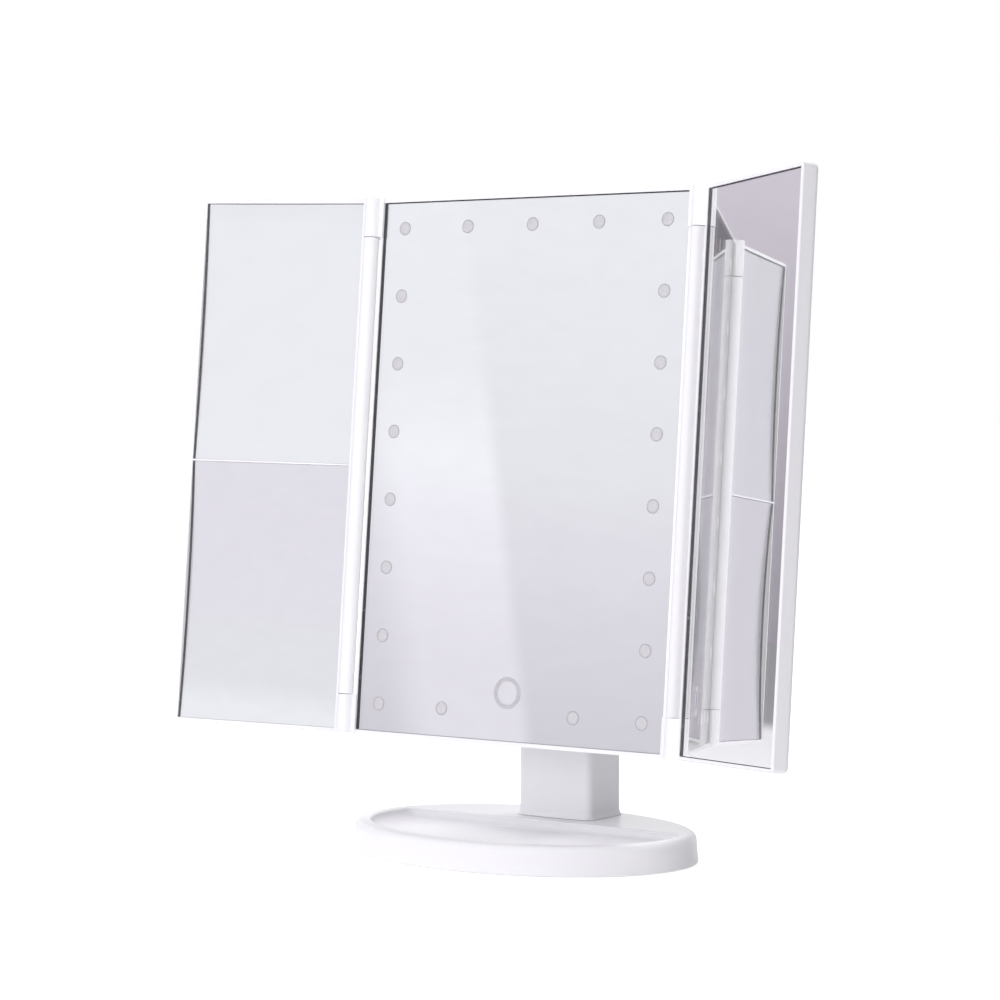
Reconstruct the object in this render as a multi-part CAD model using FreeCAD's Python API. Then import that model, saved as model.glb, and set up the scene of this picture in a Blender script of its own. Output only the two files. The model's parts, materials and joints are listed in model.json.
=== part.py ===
import FreeCAD, Part
import math
import os

# Trifold vanity mirror. Millimetres, +Z up, the mirrors face -Y, +X is the viewer's right.
# The origin is the centre of the oval base, on the plane that the foot ring rests on.

V = FreeCAD.Vector

# ---- driving dimensions -------------------------------------------------------------------

# base
BASE_HALF_WIDTH = 80.75
BASE_HALF_DEPTH = 57.5
BASE_TOP = 12.55
BASE_GAP = 0.5              # height of the shell's lower edge above the table
BASE_DRAFT = 0.9            # inset of the wall from its foot to its top
BASE_TOP_ROUND = 3.2
BASE_WALL = 2.2
TRAY_RIM = 7.8              # width of the rim round the tray
TRAY_TO_COLUMN = 8.6        # from the tray's straight rear edge to the column
TRAY_DEPTH = 4.3
TRAY_CORNER = 4.0
TRAY_FLOOR = 2.0
TRAY_FLOOR_ROUND = 3.0
TRAY_EDGE_ROUND = 0.9
PLATE_THICKNESS = 2.0
PLATE_SCREW_INSET = 22.0    # from the base's outline to the oval that the plate's screws stand on
PLATE_SCREW_ANGLES = (-36.0, 41.0)  # of the front and the rear pair, from the base's width
PLATE_SCREW_LENGTH = 4.2
PLATE_SCREW_HOLD = 0.8      # plate left under each screw's head
FOOT_RING_WIDTH = 5.0
FOOT_RING_INSET = 10.0      # from the base's outline to the ring's outline
FOOT_RING_HEIGHT = 1.5

# column
COLUMN_WIDTH = 38.0
COLUMN_DEPTH = 26.4
COLUMN_INSET = 21.7         # from the base's rear edge to the column's middle
COLUMN_BULGE = 1.2          # crown of the front face
COLUMN_FRONT_ROUND = 3.2
COLUMN_REAR_ROUND = 2.4
COLUMN_WALL = 2.0
FLARE_HEIGHT = 3.0
FLARE_REACH = 0.95
JOINT_LINE = 0.15           # shadow gap between the base and the column's foot
SHOULDER_DROP = 16.0        # from the tilt axis down to the column's shoulders
SHOULDER_ROUND = 1.2
COLUMN_FLOOR = 2.5
COLUMN_SCREW_INSET = 4.9    # from the column's faces to its screws
COLUMN_SCREW_LENGTH = 9.0
COLUMN_BOSS_HEIGHT = 8.0
BAY_PLATE = 1.5
BAY_CEILING = 2.6
SADDLE = 1.6                # thickness of the saddles that hold the cells
RAIL = 1.3                  # thickness of the rails that guide the door

# tilt hinge
PIVOT_HEIGHT = 150.0
PIVOT_BEHIND = 41.3         # from the centre mirror's face back to the tilt axis
PIVOT_BELOW = 12.1          # from the centre mirror's middle down to the tilt axis
TILT_REST = 5.5             # lean of the head, degrees back from upright
TONGUE_RADIUS = 12.0
TONGUE_SIDE = 2.7           # wall beside the tongue's pocket
EAR_THICKNESS = 7.7
EAR_GAP = 1.0               # between the tongue and each ear
EAR_SPREAD_TOP = 5.0        # the ears widen by this much towards their roots
EAR_SPREAD_FOOT = 2.0
EAR_RIM = 0.4               # the ears are this much larger round the axis than the tongue
WASHER_THICKNESS = 0.9
WASHER_RADIUS = 6.5
TILT_SCREW_RADIUS = 2.0
TILT_BUSH_RADIUS = 3.5
TILT_BUSH_BORE = 2.2
BRIDGE_GAP = 6.4            # from the ears' round ends to the bridge between them
EAR_WEB = 3.3               # thickness of the ear under the tilt screw's washer
EAR_RECESS_RADIUS = 5.2
EAR_CAP = 1.0
NUT_RADIUS = 4.0            # to its corners
NUT_THICKNESS = 3.2

# centre mirror and frame
MIRROR_WIDTH = 157.9
MIRROR_HEIGHT = 233.5
GLASS = 2.0
GLASS_CORNER = 0.4
TAPE = 0.8
TAPE_MARGIN = 6.0
SIDE_LIP = 1.35
END_LIP = 1.8
LIP_PROUD = 0.3
FRAME_FLOOR = 2.0
FRAME_WALL = 1.8
FRAME_DEPTH = 9.0           # from the mirror's face to the frame's rear edge
FRAME_CORNER = 1.2
COVER_HEIGHT = 10.8         # from the frame's rear edge to the rear cover's flat back
COVER_EDGE = 1.6            # straight height of the cover's edge
COVER_SLOPE_SIDE = 26.1     # width of the cover's sloping border at its sides
COVER_SLOPE_END = 28.55     # and at its top and bottom
COVER_CORNER = 13.0
COVER_ROUND = 9.0           # where the slope meets the flat back
COVER_WALL = 1.8
RIB = 1.6
RIB_X = 10.0
HEAD_SCREW_INSET = 5.1      # from the frame's sides to the screws
HEAD_SCREW_END = 30.55      # from the frame's ends to the outer screws
HEAD_SCREW_LENGTH = 5.0
HEAD_SCREW_HOLD = 1.5       # cover left under each screw's head

# lights and switch
LIGHT_INSET = 10.95         # from the mirror's sides to the outer spots
LIGHT_INSET_TOP = 11.5
LIGHT_INSET_BOTTOM = 12.0
LIGHT_ROWS = 8
LIGHT_RADIUS = 3.0
WELL_RADIUS = 3.5
TOUCH_INSET = 20.55         # from the mirror's lower edge to the touch ring
TOUCH_RING_RADIUS = 6.85
TOUCH_RING_LINE = 1.9
BOARD = 1.2
STRIP_WIDTH = 7.0
LED_WIDTH = 3.5
LED_HEIGHT = 2.8
LED_THICKNESS = 0.8
CONTROL_SIDE = 6.0          # the control board reaches this far past its two spots
CONTROL_TOP = 7.0           # and this far above the touch ring
JUMPER_WIDTH = 4.0
JUMPER = 0.3
JUMPER_LAP = 3.0            # overlap of a jumper ribbon on each board

# wings
HINGE_GAP = 4.5             # from the frame's side to each wing's axis
HINGE_FRONT = 1.0           # the axes lie this far in front of the mirror's face
KNUCKLE_RADIUS = 3.5
KNUCKLE_LENGTH = 17.0
KNUCKLE_SEAM = 0.3
HINGE_PIN_RADIUS = 1.0
HINGE_PIN_HOLD = 8.2        # length of each pin inside the wing
HINGE_PIN_INSET = 1.0
WINGS_APART = 0.3           # each closed wing stops this far from the head's middle
WING_INNER_LIP = 1.2
WING_LIP = 1.7
WING_THICKNESS = 7.5
WING_FLOOR = 1.5
WING_CORNER = 2.2
WING_BACK_ROUND = 2.0
WING_FRONT_ROUND = 0.6
LEFT_FOLD = 13.2            # degrees forward from flat, at rest
RIGHT_FOLD = 32.0
DIVIDER = 0.8
DIVIDER_MIDDLE = -0.1
CONCAVE_GLASS = 2.0
UPPER_CURVE = 1500.0        # radii of the two magnifying mirrors
LOWER_CURVE = 900.0
PAD_RADIUS = 7.0            # foam pads under the magnifying mirrors
PAD_INSET_SIDE = 12.85
PAD_INSET_END = 14.1
LAND_WIDTH = 16.0           # bands of ribs that carry the right mirror's tape
LAND_RIB = 1.4
LAND_RIBS = 4               # ribs in each band
LAND_INSET_SIDE = 2.85
LAND_INSET_END = 8.0

# battery bay and power pieces
CELL_RADIUS = 7.1
CELL_LENGTH = 50.2
CELL_NUB = 1.2
CELL_GAP = 0.6
CELL_NUB_RADIUS = 2.6
CELL_TO_WALL = 3.3          # from the column's front wall to the cells
CONTACT = 0.4
LEAF_HEIGHT = 4.6           # from the bay's floor to the lower cells
DOOR_FRAME = 4.65           # width of the column's back left beside the door
DOOR_TONGUE = 1.1
DOOR_SILL = 1.2             # from the bay's floor to the door's lower edge
DOOR_TRAVEL = 8.0           # the door slides up this far before it lifts off
DOOR_RIB = 1.2
DOOR_RIB_END = 14.0         # from the bay's ends to the door's ribs
GRIP_LINES = 5
GRIP_PITCH = 2.2
GRIP_WIDTH = 12.0
GRIP_DROP = 9.0             # from the shoulder to the first grip line
BOARD_STANDOFF = 2.0
BOARD_LENGTH = 16.5
USB_WIDTH = 7.5
USB_HEIGHT = 2.6
USB_DEPTH = 5.5
USB_INSET = 0.95            # from the charge board's side edge
SWITCH_WIDTH = 8.6
SWITCH_HEIGHT = 3.5
SWITCH_DEPTH = 4.5
SWITCH_INSET = 0.5
KNOB_WIDTH = 2.4
KNOB_HEIGHT = 1.8
KNOB_PROUD = 1.0
SWITCH_TRAVEL = 3.0

# lead from the charge board through the tilt hinge to the control board
LEAD_RADIUS = 0.8
LEAD_HOLE = 1.2
LEAD_WALL = 1.2             # wall behind the lead's hole
LEAD_BEND = 4.0             # radius of its turns at the tilt axis
LEAD_SWEEP = 16.0           # radius of its turn inside the head

# fasteners and fits
PRESSED = 0.02              # radial gap of a pressed or threaded piece
RUNNING = 0.05              # radial gap of a turning piece
SLIDING = 0.15              # gap beside a sliding piece
LOOSE = 0.1                 # gap round a seated mirror or plate
SMALL_SHANK = 1.2
SMALL_HEAD = 2.3
SMALL_HEAD_HEIGHT = 1.5
BOSS_RADIUS = 2.6

# ---- derived places -----------------------------------------------------------------------

COLUMN_Y = BASE_HALF_DEPTH - COLUMN_INSET
FRAME_HALF_WIDTH = MIRROR_WIDTH / 2 + SIDE_LIP
FRAME_HALF_HEIGHT = MIRROR_HEIGHT / 2 + END_LIP
COVER_DEPTH = FRAME_DEPTH + COVER_HEIGHT
COVER_FLAT_X = FRAME_HALF_WIDTH - COVER_SLOPE_SIDE
COVER_FLAT_Z = FRAME_HALF_HEIGHT - COVER_SLOPE_END
HINGE_X = FRAME_HALF_WIDTH + HINGE_GAP
WING_REACH = HINGE_X - WINGS_APART
TAPE_BACK = GLASS + TAPE
FLOOR_BACK = TAPE_BACK + FRAME_FLOOR
BOARD_BACK = FLOOR_BACK + BOARD
SHOULDER = PIVOT_HEIGHT - SHOULDER_DROP
COLUMN_FOOT = BASE_TOP + JOINT_LINE
COLUMN_FRONT = COLUMN_Y - COLUMN_DEPTH / 2
COLUMN_REAR = COLUMN_Y + COLUMN_DEPTH / 2
TRAY_REAR = COLUMN_FRONT - TRAY_TO_COLUMN
REAR_WALL_FACE = COLUMN_REAR - COLUMN_WALL
SIDE_WALL_FACE = COLUMN_WIDTH / 2 - COLUMN_WALL
BAY_TOP = SHOULDER - BAY_CEILING
CELL_X = CELL_RADIUS + CELL_GAP / 2
CELL_Y = COLUMN_FRONT + COLUMN_WALL + CELL_TO_WALL + CELL_RADIUS
CELL_TOP = BAY_TOP - CONTACT
CELL_FOOT = CELL_TOP - 2 * CELL_LENGTH
BAY_FLOOR = CELL_FOOT - LEAF_HEIGHT
DOOR_HALF_WIDTH = COLUMN_WIDTH / 2 - DOOR_FRAME
DOOR_TONGUE_HALF_WIDTH = SIDE_WALL_FACE - 2 * SLIDING
DOOR_BOTTOM = BAY_FLOOR + DOOR_SILL
BOARD_TOP = COLUMN_FOOT + COLUMN_FLOOR + BOARD_STANDOFF + BOARD
BOARD_REAR = REAR_WALL_FACE - 5 * LOOSE
BOARD_FRONT = BOARD_REAR - BOARD_LENGTH
BOARD_HALF_WIDTH = COLUMN_WIDTH / 2 - COLUMN_SCREW_INSET - BOSS_RADIUS - LOOSE
USB_X = USB_INSET + USB_WIDTH / 2 - BOARD_HALF_WIDTH
SWITCH_X = BOARD_HALF_WIDTH - SWITCH_INSET - SWITCH_WIDTH / 2
EAR_OUTER = COLUMN_WIDTH / 2
EAR_INNER = EAR_OUTER - EAR_THICKNESS
EAR_RADIUS = TONGUE_RADIUS + EAR_RIM
TONGUE_WIDTH = 2 * (EAR_INNER - EAR_GAP)
TONGUE_POCKET = TONGUE_WIDTH - 2 * TONGUE_SIDE
# behind, the tongue's stem stays clear of the door where it slides past the shoulders
TONGUE_REAR = COLUMN_Y + math.sqrt(TONGUE_RADIUS ** 2 - (SHOULDER_DROP - DOOR_TRAVEL) ** 2)
LEAD_Y = TONGUE_REAR - LEAD_WALL - LEAD_HOLE
KNUCKLE_START = FRAME_HALF_HEIGHT - KNUCKLE_LENGTH
BARREL_HALF_LENGTH = KNUCKLE_START - KNUCKLE_SEAM
BARREL_RADIUS = KNUCKLE_RADIUS - LOOSE
HINGE_PIN_LENGTH = KNUCKLE_LENGTH - HINGE_PIN_INSET + KNUCKLE_SEAM + HINGE_PIN_HOLD
WING_FACE = HINGE_FRONT                       # depth of the wing's mirror below its axis
WING_LIP_FRONT = HINGE_FRONT - LIP_PROUD
WING_BACK = WING_LIP_FRONT + WING_THICKNESS
WING_FLOOR_FRONT = WING_BACK - WING_FLOOR
WING_MIRROR_END = WING_REACH - WING_LIP
WING_START = KNUCKLE_RADIUS + 4 * LOOSE
WING_MIRROR_START = WING_START + WING_INNER_LIP
WING_MIRROR_X = (WING_MIRROR_START + WING_MIRROR_END) / 2
WING_MIRROR_HALF = (WING_MIRROR_END - WING_MIRROR_START) / 2
LIGHT_PITCH_X = (MIRROR_WIDTH / 2 - LIGHT_INSET) / 2
LIGHT_TOP = MIRROR_HEIGHT / 2 - LIGHT_INSET_TOP
LIGHT_BOTTOM = LIGHT_INSET_BOTTOM - MIRROR_HEIGHT / 2
LIGHT_PITCH_Z = (LIGHT_TOP - LIGHT_BOTTOM) / (LIGHT_ROWS - 1)
TOUCH_Z = TOUCH_INSET - MIRROR_HEIGHT / 2

HEAD_TURN = FreeCAD.Rotation(V(1, 0, 0), -TILT_REST)
PIVOT = V(0, COLUMN_Y, PIVOT_HEIGHT)
PIVOT_IN_HEAD = V(0, PIVOT_BEHIND, -PIVOT_BELOW)
HEAD_ORIGIN = PIVOT - HEAD_TURN.multVec(PIVOT_IN_HEAD)
HEAD_PLACE = FreeCAD.Placement(HEAD_ORIGIN, HEAD_TURN)


# ---- shape helpers ------------------------------------------------------------------------

def box(x, y, z):
    """A box from three (low, high) pairs."""
    return Part.makeBox(x[1] - x[0], y[1] - y[0], z[1] - z[0], V(x[0], y[0], z[0]))


def wide(half):
    """A (low, high) pair centred on zero."""
    return (-half, half)


def rod(radius, start, along, length):
    return Part.makeCylinder(radius, length, start, along)


def ring(outer, inner, start, along, length):
    return rod(outer, start, along, length).cut(rod(inner, start, along, length))


def fuse(shapes):
    whole = shapes[0].multiFuse(shapes[1:]) if len(shapes) > 1 else shapes[0]
    return whole.removeSplitter()


def group(solids):
    return Part.makeCompound(solids)


def edges_where(shape, test):
    """The straight or curved edges whose bounding box passes the test."""
    return [edge for edge in shape.Edges if test(edge.BoundBox)]


def near(value, target):
    return abs(value - target) < 1e-3


def oval(half_width, half_depth, z):
    shape = Part.Ellipse(V(0, 0, z), max(half_width, half_depth), min(half_width, half_depth)).toShape()
    if half_width < half_depth:
        shape.rotate(V(0, 0, z), V(0, 0, 1), 90)
    return Part.Wire(shape)


def oval_block(half_width, half_depth, low, high, draft=0.0):
    """A solid oval that narrows by draft on its way up."""
    wires = [oval(half_width, half_depth, low), oval(half_width - draft, half_depth - draft, high)]
    return Part.makeLoft(wires, True, True)


def upright_outline(half_width, half_height, corner, y):
    """A rounded rectangle that stands in the plane at depth y."""
    left, right, low, high = -half_width, half_width, -half_height, half_height
    near45 = corner * (1 - math.sqrt(0.5))
    pieces = [
        Part.LineSegment(V(left + corner, y, low), V(right - corner, y, low)),
        Part.Arc(V(right - corner, y, low), V(right - near45, y, low + near45), V(right, y, low + corner)),
        Part.LineSegment(V(right, y, low + corner), V(right, y, high - corner)),
        Part.Arc(V(right, y, high - corner), V(right - near45, y, high - near45), V(right - corner, y, high)),
        Part.LineSegment(V(right - corner, y, high), V(left + corner, y, high)),
        Part.Arc(V(left + corner, y, high), V(left + near45, y, high - near45), V(left, y, high - corner)),
        Part.LineSegment(V(left, y, high - corner), V(left, y, low + corner)),
        Part.Arc(V(left, y, low + corner), V(left + near45, y, low + near45), V(left + corner, y, low)),
    ]
    return Part.Wire([piece.toShape() for piece in pieces])


def upright_slab(half_width, half_height, corner, front, back):
    """A plate with rounded corners that stands upright between two depths."""
    face = Part.Face(upright_outline(half_width, half_height, corner, front))
    return face.extrude(V(0, back - front, 0))


def screw(point, along, head_radius, head_height, shank_radius, length):
    """A pan-head screw: point is under the head, along is the way its shank goes."""
    back = along * -1
    head = rod(head_radius, point, back, head_height)
    rim = [e for e in head.Edges if near((e.CenterOfMass - point).dot(back), head_height)]
    head = head.makeFillet(head_height * 0.4, rim)
    tip = shank_radius * 0.8
    shank = rod(shank_radius, point, along, length - tip)
    cone = Part.makeCone(shank_radius, shank_radius * 0.3, tip, point + along * (length - tip), along)
    slot = rod(head_radius * 0.42, point + back * (head_height * 0.45), back, head_height)
    return fuse([head, shank, cone]).cut(slot)


def lead(points, bends):
    """A round lead along straight runs, joined by tangent arcs of the given radii."""
    edges, start = [], points[0]
    for corner, following, radius in zip(points[1:], points[2:], bends):
        before = (corner - start).normalize()
        after = (following - corner).normalize()
        half_turn = before.getAngle(after) / 2
        setback = radius * math.tan(half_turn)
        middle = (after - before).normalize() * (radius / math.cos(half_turn) - radius)
        first, last = corner - before * setback, corner + after * setback
        edges += [Part.makeLine(start, first), Part.Arc(first, corner + middle, last).toShape()]
        start = last
    edges.append(Part.makeLine(start, points[-1]))
    path = Part.Wire(edges)
    section = Part.Wire(Part.makeCircle(LEAD_RADIUS, points[0], points[1] - points[0]))
    return path.makePipeShell([section], True, True)


def in_head(shape):
    """Moves a shape from the head's own frame to its place."""
    moved = shape.copy()
    moved.Placement = HEAD_PLACE.multiply(moved.Placement)
    return moved


def in_wing(shape, side):
    """Moves a right-hand wing shape to its place: side is 1 for the right wing and -1 for the left."""
    moved = shape.copy() if side > 0 else shape.mirror(V(0, 0, 0), V(1, 0, 0))
    fold = RIGHT_FOLD if side > 0 else LEFT_FOLD
    turn = FreeCAD.Rotation(V(0, 0, 1), -side * fold)
    hinge = FreeCAD.Placement(V(side * HINGE_X, -HINGE_FRONT, 0), turn)
    moved.Placement = HEAD_PLACE.multiply(hinge).multiply(moved.Placement)
    return moved


# ---- base ---------------------------------------------------------------------------------

COLUMN_SCREWS = [V(x, y, 0) for x in wide(COLUMN_WIDTH / 2 - COLUMN_SCREW_INSET)
                 for y in (COLUMN_FRONT + COLUMN_SCREW_INSET, COLUMN_REAR - COLUMN_SCREW_INSET)]
PLATE_SCREWS = [V(side * (BASE_HALF_WIDTH - PLATE_SCREW_INSET) * math.cos(math.radians(angle)),
                  (BASE_HALF_DEPTH - PLATE_SCREW_INSET) * math.sin(math.radians(angle)), 0)
                for side in (-1, 1) for angle in PLATE_SCREW_ANGLES]
PLATE_TOP = BASE_GAP + PLATE_THICKNESS
PLATE_SCREW_SEAT = PLATE_TOP - PLATE_SCREW_HOLD


def tray_block(grow, low, high, floor_round):
    """The D-shaped volume of the tray, its outline moved out by grow."""
    half_width = BASE_HALF_WIDTH - TRAY_RIM + grow
    half_depth = BASE_HALF_DEPTH - TRAY_RIM + grow
    block = oval_block(half_width, half_depth, low, high)
    front = box(wide(half_width + 1), (-half_depth - 1, TRAY_REAR + grow), (low - 1, high + 1))
    block = block.common(front)
    upright = edges_where(block, lambda b: b.ZLength > 1 and near(b.YMax, TRAY_REAR + grow) and b.XLength < 1)
    block = block.makeFillet(TRAY_CORNER + grow, upright)
    if floor_round:
        block = block.makeFillet(floor_round, edges_where(block, lambda b: near(b.ZMax, low)))
    return block


def base_shell():
    body = oval_block(BASE_HALF_WIDTH, BASE_HALF_DEPTH, BASE_GAP, BASE_TOP, BASE_DRAFT)
    body = body.makeFillet(BASE_TOP_ROUND, edges_where(body, lambda b: near(b.ZMin, BASE_TOP)))
    wall = BASE_WALL
    cavity = oval_block(BASE_HALF_WIDTH - wall, BASE_HALF_DEPTH - wall, BASE_GAP, BASE_TOP - wall, BASE_DRAFT)
    tray_low = BASE_TOP - TRAY_DEPTH
    cavity = cavity.cut(tray_block(TRAY_FLOOR, tray_low - TRAY_FLOOR, BASE_TOP, 0))
    ceiling = BASE_TOP - wall / 2
    bosses = [rod(BOSS_RADIUS, V(p.x, p.y, PLATE_TOP), V(0, 0, 1), ceiling - PLATE_TOP) for p in PLATE_SCREWS]
    cavity = cavity.cut(group(bosses))
    body = body.cut(cavity)
    body = body.cut(tray_block(0, tray_low, BASE_TOP + 1, TRAY_FLOOR_ROUND))
    rim = edges_where(body, lambda b: near(b.ZMin, BASE_TOP) and b.YMax < TRAY_REAR + 1)
    body = body.makeFillet(TRAY_EDGE_ROUND, rim)
    for p in PLATE_SCREWS:
        body = body.cut(rod(SMALL_SHANK + PRESSED, p, V(0, 0, 1), PLATE_SCREW_SEAT + PLATE_SCREW_LENGTH))
    for p in COLUMN_SCREWS:
        body = body.cut(rod(SMALL_SHANK + LOOSE, p, V(0, 0, 1), BASE_TOP + 1))
    return body


def foot_ring_block(grow, low, high):
    inset = FOOT_RING_INSET
    outer = oval_block(BASE_HALF_WIDTH - inset + grow, BASE_HALF_DEPTH - inset + grow, low, high)
    inset += FOOT_RING_WIDTH
    inner = oval_block(BASE_HALF_WIDTH - inset - grow, BASE_HALF_DEPTH - inset - grow, low, high)
    return outer.cut(inner)


def base_plate():
    inset = BASE_WALL + LOOSE
    draft = BASE_DRAFT * PLATE_THICKNESS / (BASE_TOP - BASE_WALL - BASE_GAP)
    plate = oval_block(BASE_HALF_WIDTH - inset, BASE_HALF_DEPTH - inset, BASE_GAP, PLATE_TOP, draft)
    plate = plate.cut(foot_ring_block(LOOSE, BASE_GAP - 1, FOOT_RING_HEIGHT))
    for p in PLATE_SCREWS:
        low = V(p.x, p.y, 0)
        plate = plate.cut(rod(SMALL_SHANK + LOOSE, low, V(0, 0, 1), BASE_TOP))
        plate = plate.cut(rod(SMALL_HEAD + LOOSE, low, V(0, 0, 1), PLATE_SCREW_SEAT))
    return plate


def foot_ring():
    return foot_ring_block(0, 0, FOOT_RING_HEIGHT)


def plate_screws():
    head = PLATE_SCREW_SEAT - BASE_GAP - LOOSE
    return group([screw(V(p.x, p.y, PLATE_SCREW_SEAT), V(0, 0, 1), SMALL_HEAD, head, SMALL_SHANK,
                        PLATE_SCREW_LENGTH) for p in PLATE_SCREWS])


def column_screws():
    under_head = BASE_TOP - BASE_WALL
    return group([screw(V(p.x, p.y, under_head), V(0, 0, 1), SMALL_HEAD, SMALL_HEAD_HEIGHT, SMALL_SHANK,
                        COLUMN_SCREW_LENGTH) for p in COLUMN_SCREWS])


# ---- column -------------------------------------------------------------------------------

def column_outline():
    """The column's plan at the foot: crowned front, square back, rounded corners."""
    half = COLUMN_WIDTH / 2
    edge = COLUMN_FRONT + COLUMN_BULGE
    crown = Part.Arc(V(-half, edge, 0), V(0, COLUMN_FRONT, 0), V(half, edge, 0)).toShape()
    sides = [(V(half, edge, 0), V(half, COLUMN_REAR, 0)),
             (V(half, COLUMN_REAR, 0), V(-half, COLUMN_REAR, 0)),
             (V(-half, COLUMN_REAR, 0), V(-half, edge, 0))]
    wire = Part.Wire([crown] + [Part.makeLine(a, b) for a, b in sides])
    block = Part.Face(wire).extrude(V(0, 0, 1))
    front = edges_where(block, lambda b: b.ZLength > 0.5 and near(b.YMin, edge) and b.XLength < 0.1)
    block = block.makeFillet(COLUMN_FRONT_ROUND, front)
    rear = edges_where(block, lambda b: b.ZLength > 0.5 and near(b.YMin, COLUMN_REAR))
    block = block.makeFillet(COLUMN_REAR_ROUND, rear)
    floor = [f for f in block.Faces if near(f.BoundBox.ZMax, 0)][0]
    return floor.OuterWire


def column_block(outline, grow, low, high):
    wire = outline.makeOffset2D(grow) if grow else outline
    wire = wire.copy()
    wire.translate(V(0, 0, low))
    return Part.Face(wire).extrude(V(0, 0, high - low))


def column_flare(outline):
    """The foot sweeps out to the base in a short curve."""
    steps = 5
    wires = []
    for step in range(steps + 1):
        t = step / steps
        reach = FLARE_REACH * (1 - t) ** 2
        wire = outline.makeOffset2D(reach) if step < steps else outline.copy()
        wire.translate(V(0, 0, COLUMN_FOOT + t * FLARE_HEIGHT))
        wires.append(wire)
    return Part.makeLoft(wires, True, False)


def tongue():
    """The rounded tongue between the ears, with a pocket open to the front."""
    half = TONGUE_WIDTH / 2
    height = (SHOULDER - BAY_CEILING / 2, PIVOT_HEIGHT)
    stem = box(wide(half), (COLUMN_Y - TONGUE_RADIUS, TONGUE_REAR), height)
    end = rod(TONGUE_RADIUS, PIVOT - V(half, 0, 0), V(1, 0, 0), TONGUE_WIDTH)
    body = fuse([stem, end])
    pocket_top = PIVOT_HEIGHT + TONGUE_RADIUS / 2
    pocket = box(wide(TONGUE_POCKET / 2), (COLUMN_Y - 2 * TONGUE_RADIUS, LEAD_Y + LEAD_HOLE),
                 (SHOULDER + TONGUE_SIDE / 2, pocket_top))
    body = body.cut(pocket)
    body = body.cut(rod(TILT_SCREW_RADIUS + PRESSED, PIVOT, V(-1, 0, 0), TONGUE_WIDTH))
    return body.cut(rod(TILT_BUSH_RADIUS + PRESSED, PIVOT, V(1, 0, 0), TONGUE_WIDTH))


def cells():
    """Places of the four cells: x, foot height and whether the nub points up."""
    places = []
    for side in (-1, 1):
        for level in (2, 1):
            places.append((side * CELL_X, CELL_TOP - level * CELL_LENGTH, side < 0))
    return places


def column_shell():
    outline = column_outline()
    body = fuse([column_flare(outline), column_block(outline, 0, COLUMN_FOOT + FLARE_HEIGHT, SHOULDER)])
    body = body.makeFillet(SHOULDER_ROUND, edges_where(body, lambda b: near(b.ZMin, SHOULDER)))
    lower = column_block(outline, -COLUMN_WALL, COLUMN_FOOT + COLUMN_FLOOR, BAY_FLOOR - BAY_PLATE)
    bay = column_block(outline, -COLUMN_WALL, BAY_FLOOR, BAY_TOP)
    body = body.cut(lower).cut(bay)
    inside = column_block(outline, -COLUMN_WALL / 2, COLUMN_FOOT, SHOULDER)
    saddle_back = CELL_Y - CELL_RADIUS / 3
    parts = [body, tongue()]
    for p in COLUMN_SCREWS:
        boss = rod(BOSS_RADIUS, V(p.x, p.y, COLUMN_FOOT), V(0, 0, 1), COLUMN_BOSS_HEIGHT)
        parts.append(boss.common(inside))
    cell_space = [rod(CELL_RADIUS + LOOSE, V(x, CELL_Y, BAY_FLOOR), V(0, 0, 1), BAY_TOP - BAY_FLOOR)
                  for x in (-CELL_X, CELL_X)]
    for share in (0.12, 0.38, 0.62, 0.88):
        z = BAY_FLOOR + share * (BAY_TOP - BAY_FLOOR)
        height = (z - SADDLE / 2, z + SADDLE / 2)
        saddle = box(wide(SIDE_WALL_FACE + 0.5), (COLUMN_FRONT, saddle_back), height)
        parts.append(saddle.common(inside).cut(group(cell_space)))
    rail_back = REAR_WALL_FACE - DOOR_TONGUE - 2 * SLIDING
    for side in (-1, 1):
        rail = box(sorted((side * (SIDE_WALL_FACE + 0.5), side * (SIDE_WALL_FACE - RAIL))),
                   (rail_back - RAIL, rail_back), (BAY_FLOOR - 0.5, BAY_TOP + 0.5))
        parts.append(rail)
        standoff_x = side * (BOARD_HALF_WIDTH - RAIL)
        parts.append(box((standoff_x - RAIL / 2, standoff_x + RAIL / 2), (BOARD_FRONT, BOARD_REAR),
                         (COLUMN_FOOT + COLUMN_FLOOR / 2, BOARD_TOP - BOARD)))
    body = fuse(parts)
    screw_tip = BASE_TOP - BASE_WALL + COLUMN_SCREW_LENGTH
    for p in COLUMN_SCREWS:
        body = body.cut(rod(SMALL_SHANK + PRESSED, V(p.x, p.y, 0), V(0, 0, 1), screw_tip))
    # rear opening for the battery door, open at the shoulder so that the door slides up
    height = (DOOR_BOTTOM - SLIDING, SHOULDER + 1)
    window = (REAR_WALL_FACE - 1, COLUMN_REAR + 1)
    body = body.cut(box(wide(DOOR_HALF_WIDTH + SLIDING), window, height))
    body = body.cut(box(wide(DOOR_TONGUE_HALF_WIDTH + SLIDING), (rail_back, REAR_WALL_FACE), height))
    # lead hole through the ceiling, socket window and switch slot
    body = body.cut(rod(LEAD_HOLE, V(0, LEAD_Y, BAY_TOP - 1), V(0, 0, 1), BAY_CEILING + TONGUE_SIDE))
    body = body.cut(rod(LEAD_HOLE, V(0, LEAD_Y, BAY_FLOOR - BAY_PLATE - 1), V(0, 0, 1), BAY_PLATE + 2))
    body = body.cut(box((USB_X - USB_WIDTH / 2 - 0.3, USB_X + USB_WIDTH / 2 + 0.3), window,
                        (BOARD_TOP - 0.3, BOARD_TOP + USB_HEIGHT + 0.3)))
    knob_low, knob_high = knob_x()
    body = body.cut(box((knob_low - 0.3, knob_high + SWITCH_TRAVEL + 0.3), window,
                        (knob_z()[0] - 0.3, knob_z()[1] + 0.3)))
    return body


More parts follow.
